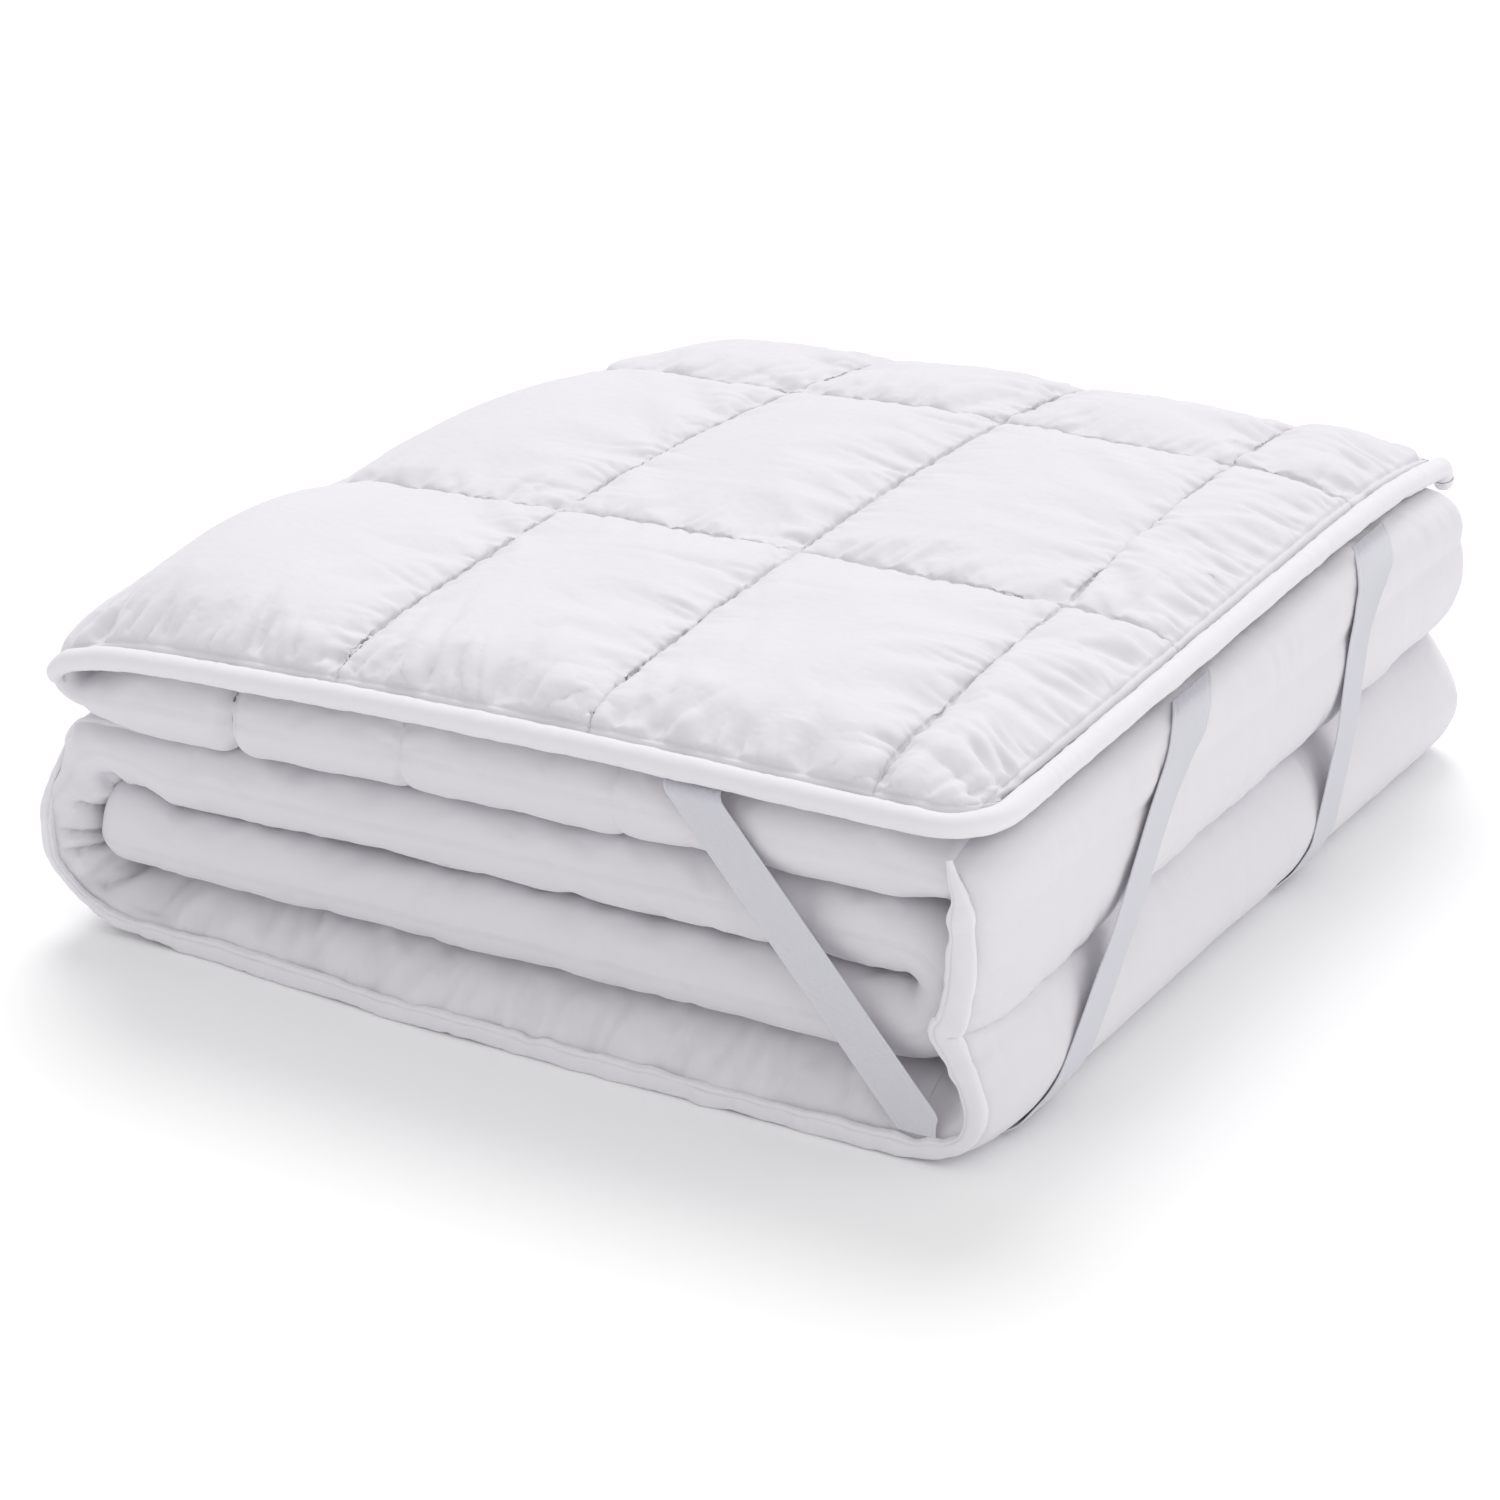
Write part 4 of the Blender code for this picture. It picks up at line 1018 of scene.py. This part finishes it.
# across the front: depth of the strap, x and z of its middle at the top and at the foot, then its stations
frontElastic = {
    "y": 0.0042,
    "top": (-0.1590, 0.1895),
    "foot": (-0.0155, 0.0155),
    "overTop": ((0.1862, 0.0135), (0.1852, 0.0085), (0.1825, 0.0050)),  # z and y under the piping
    "down": (0.1780, 0.14, 0.10, 0.07, 0.045),
    "stop": (-0.0105, 0.0158),  # x of the corner that stops its right edge, and z of its end
}
sideElastics = {
    "ends": (0.004, 0.188),  # heights of the foot and of the top
    "overTop": ((0.183, 1.1), (0.1765, 0.3)),  # z, and how far down the ray points
    "down": (
        0.170, 0.164, 0.155, 0.14, 0.12, 0.10, 0.085, 0.07, 0.055, 0.04,
        0.030, 0.022, 0.015, 0.009, 0.0055,
    ),
    "aimX": 0.014,  # the right side, at the front corner
    "castFrom": 0.3,
    "front": (0.262, 0.062, 0.029),  # y at the top, y at the foot, bow
    "back": (0.505, 0.380, 0.037),
}


def buildStrap(name, lefts, rights, nodeName):
    # both faces between two edge lines: ribs = rib cos(2 pi ribs w), with thinner rounded selvedges
    lines = [resample(line, 0.002)[0] for line in (lefts, rights)]
    pick = np.linspace(0, 1, min(len(line) for line in lines))
    left, right = (
        np.stack([np.interp(pick, np.linspace(0, 1, len(line)), line[:, k]) for k in range(3)], axis=1)
        for line in lines
    )
    columns = 4 * elastic["ribs"] + 1
    w = np.linspace(0, 1, columns)[None, :]
    middle = left[:, None] + (right - left)[:, None] * w[..., None]
    forward = np.gradient(left + right, axis=0)
    up = np.cross(forward, right - left)
    up /= np.linalg.norm(up, axis=1, keepdims=True)
    edge = np.minimum(w, 1 - w) * elastic["wide"]
    selvedge = 1 - 0.35 * np.exp(-((edge - 0.0024) / 0.0005) ** 2)
    ribs = elastic["rib"] * np.cos(2 * math.pi * elastic["ribs"] * w) * unit(edge / 0.0015)
    half = elastic["thick"] / 2 * nose((edge + 0.0001) / 0.0007) * selvedge + ribs
    upper = middle + up[:, None] * half[..., None]
    lower = middle - up[:, None] * half[..., None]
    points = np.concatenate([upper, lower[:, ::-1]], axis=1)
    points[..., 2] = np.maximum(points[..., 2], 0.0002)
    lengths = pathLengths(left)
    uvAcross = np.concatenate([w, w[:, ::-1]], axis=1) * elastic["wide"]
    uv = np.stack([lengths[:, None] + 0 * uvAcross, uvAcross + 0 * lengths[:, None]], axis=-1)
    thing = closedPiece(name, points, uv, "elastic")
    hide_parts(nodeName)
    return thing


def toPart(x, y, z):
    # from the corner of the bundle to the part's own frame
    mx, my = bundle["middle"]
    return Vector((x + mx, y + my, z))


def frontStrap():
    # a straight slanting strap; its right edge stops at the side's corner and runs down it to the foot
    y0 = frontElastic["y"]
    (x0, z0), (x1, z1) = frontElastic["top"], frontElastic["foot"]
    long = math.hypot(x1 - x0, z1 - z0)
    ax, az = (x1 - x0) / long, (z1 - z0) / long
    half = elastic["wide"] / 2
    lefts, rights = [], []
    stations = [*frontElastic["overTop"], *((z, y0) for z in frontElastic["down"])]
    for z, y in stations:
        for edge, sign in ((lefts, -1), (rights, 1)):
            sx, sz = x0 - sign * az * half, z0 + sign * ax * half
            edge.append(toPart(sx + (z - sz) * ax / az, y, z))
    sideX, floorZ = frontElastic["stop"]
    lastX, lastZ = rights[-1].x - bundle["middle"][0], rights[-1].z
    stopZ = lastZ + (sideX - lastX) * az / ax
    leftX, leftZ = lefts[-1].x - bundle["middle"][0], lefts[-1].z
    for share in (0.0, 0.5, 1.0):
        z = stopZ + (floorZ - stopZ) * share
        rights.append(toPart(sideX, y0, z))
        lefts.append(toPart(leftX + (z - leftZ) * ax / az, y0, z))
    return buildStrap("elastic_front", lefts, rights, "strap_front")


def upperHull(places, values):
    # each value raised to the highest chord over it, as a taut strap bridges a hollow
    raised = list(values)
    for i, at in enumerate(places):
        for a in range(i):
            for b in range(i + 1, len(places)):
                w = (at - places[a]) / (places[b] - places[a])
                raised[i] = max(raised[i], values[a] + (values[b] - values[a]) * w)
    return raised


def sideStrap(which, tree):
    # rays cast onto the side along y = foot + (top - foot) w - bow sin(pi w^3), pulled taut, make its edges
    topY, footY, bow = sideElastics[which]
    stations = [*sideElastics["overTop"], *((z, 0.0) for z in sideElastics["down"])]
    footZ, topZ = sideElastics["ends"]

    def middle(z):
        # y of the strap's middle at a height, where w is the share of the way up
        w = (z - footZ) / (topZ - footZ)
        return footY + (topY - footY) * w - bow * math.sin(math.pi * w**3)

    lines = []
    for across in (-1, 0, 1):
        found = []
        for z, press in stations:
            lean = (middle(z + 0.001) - middle(z - 0.001)) / 0.002
            y = middle(z) + across * elastic["wide"] / 2 * math.hypot(1.0, min(lean, elastic["mostLean"]))
            inwards = Vector((-1.0, 0.0, -press))
            aim = toPart(sideElastics["aimX"] + settled["skew"] * y, y, z)
            hit, normal, _, _ = tree.ray_cast(aim - inwards * sideElastics["castFrom"], inwards)
            found.append(hit + normal.normalized() * elastic["off"])
        xs = upperHull([p.z for p in found], [p.x for p in found])
        lines.append([Vector((x, p.y, p.z)) for x, p in zip(xs, found)])
    for left, centre, right in zip(*lines):
        swell = max(0.0, centre.x - (left.x + right.x) / 2)
        left.x += swell
        right.x += swell
    return buildStrap("elastic_side_" + which, lines[0], lines[2], "strap_side_" + which)


frontStrap()
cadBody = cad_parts["topper_body"].data
cadTree = BVHTree.FromPolygons([v.co for v in cadBody.vertices], [list(p.vertices) for p in cadBody.polygons])
sideStrap("front", cadTree)
sideStrap("back", cadTree)
print("stage: elastics")


studio = {
    "floor": (0.965, 0.965, 0.97),
    "sky": 0.75,
    "keyStrength": 1.3,  # each sun: strength, softness in degrees, and the direction that it shines from
    "keyAngle": 32.0,
    "keyFrom": (-0.38, 0.70, 1.00),
    "fillStrength": 0.5,
    "fillAngle": 70.0,
    "fillFrom": (1.0, 0.05, 0.60),
}


def buildStudio():
    # a pale floor, an even sky and two soft suns
    mesh = bpy.data.meshes.new("floor")
    far = 14.0
    mesh.from_pydata([(-far, -far, 0), (far, -far, 0), (far, far, 0), (-far, far, 0)], [], [(0, 1, 2, 3)])
    floor = bpy.data.objects.new("floor", mesh)
    bpy.context.scene.collection.objects.link(floor)
    material = bpy.data.materials.new("paleFloor")
    material.use_nodes = True
    shader = material.node_tree.nodes["Principled BSDF"]
    shader.inputs["Base Color"].default_value = (*studio["floor"], 1)
    shader.inputs["Roughness"].default_value = 0.9
    shader.inputs["Specular IOR Level"].default_value = 0.1
    mesh.materials.append(material)
    world = bpy.data.worlds.new("studioSky")
    world.use_nodes = True
    background = world.node_tree.nodes["Background"]
    background.inputs["Color"].default_value = (1.0, 1.0, 1.0, 1)
    background.inputs["Strength"].default_value = studio["sky"]
    bpy.context.scene.world = world
    for name in ("key", "fill"):
        data = bpy.data.lights.new(name + "Softbox", "SUN")
        data.energy, data.angle = studio[name + "Strength"], math.radians(studio[name + "Angle"])
        lamp = bpy.data.objects.new(name + "Softbox", data)
        lamp.rotation_euler = Vector(studio[name + "From"]).to_track_quat("Z", "Y").to_euler()
        bpy.context.scene.collection.objects.link(lamp)


buildStudio()
photo = {"at": (0.98384, -1.93503, 1.10954), "down": 26.0, "left": 27.5, "lens": 96.0}
cameraData = bpy.data.cameras.new("photoCamera")
cameraData.lens, cameraData.sensor_width = photo["lens"], 36.0
cameraData.clip_end = 60.0
camera = bpy.data.objects.new("photoCamera", cameraData)
camera.location = photo["at"]
camera.rotation_euler = (math.radians(90 - photo["down"]), 0.0, math.radians(photo["left"]))
bpy.context.scene.collection.objects.link(camera)
bpy.context.scene.camera = camera
bpy.context.scene.view_settings.view_transform = "Standard"
print("stage: studio")
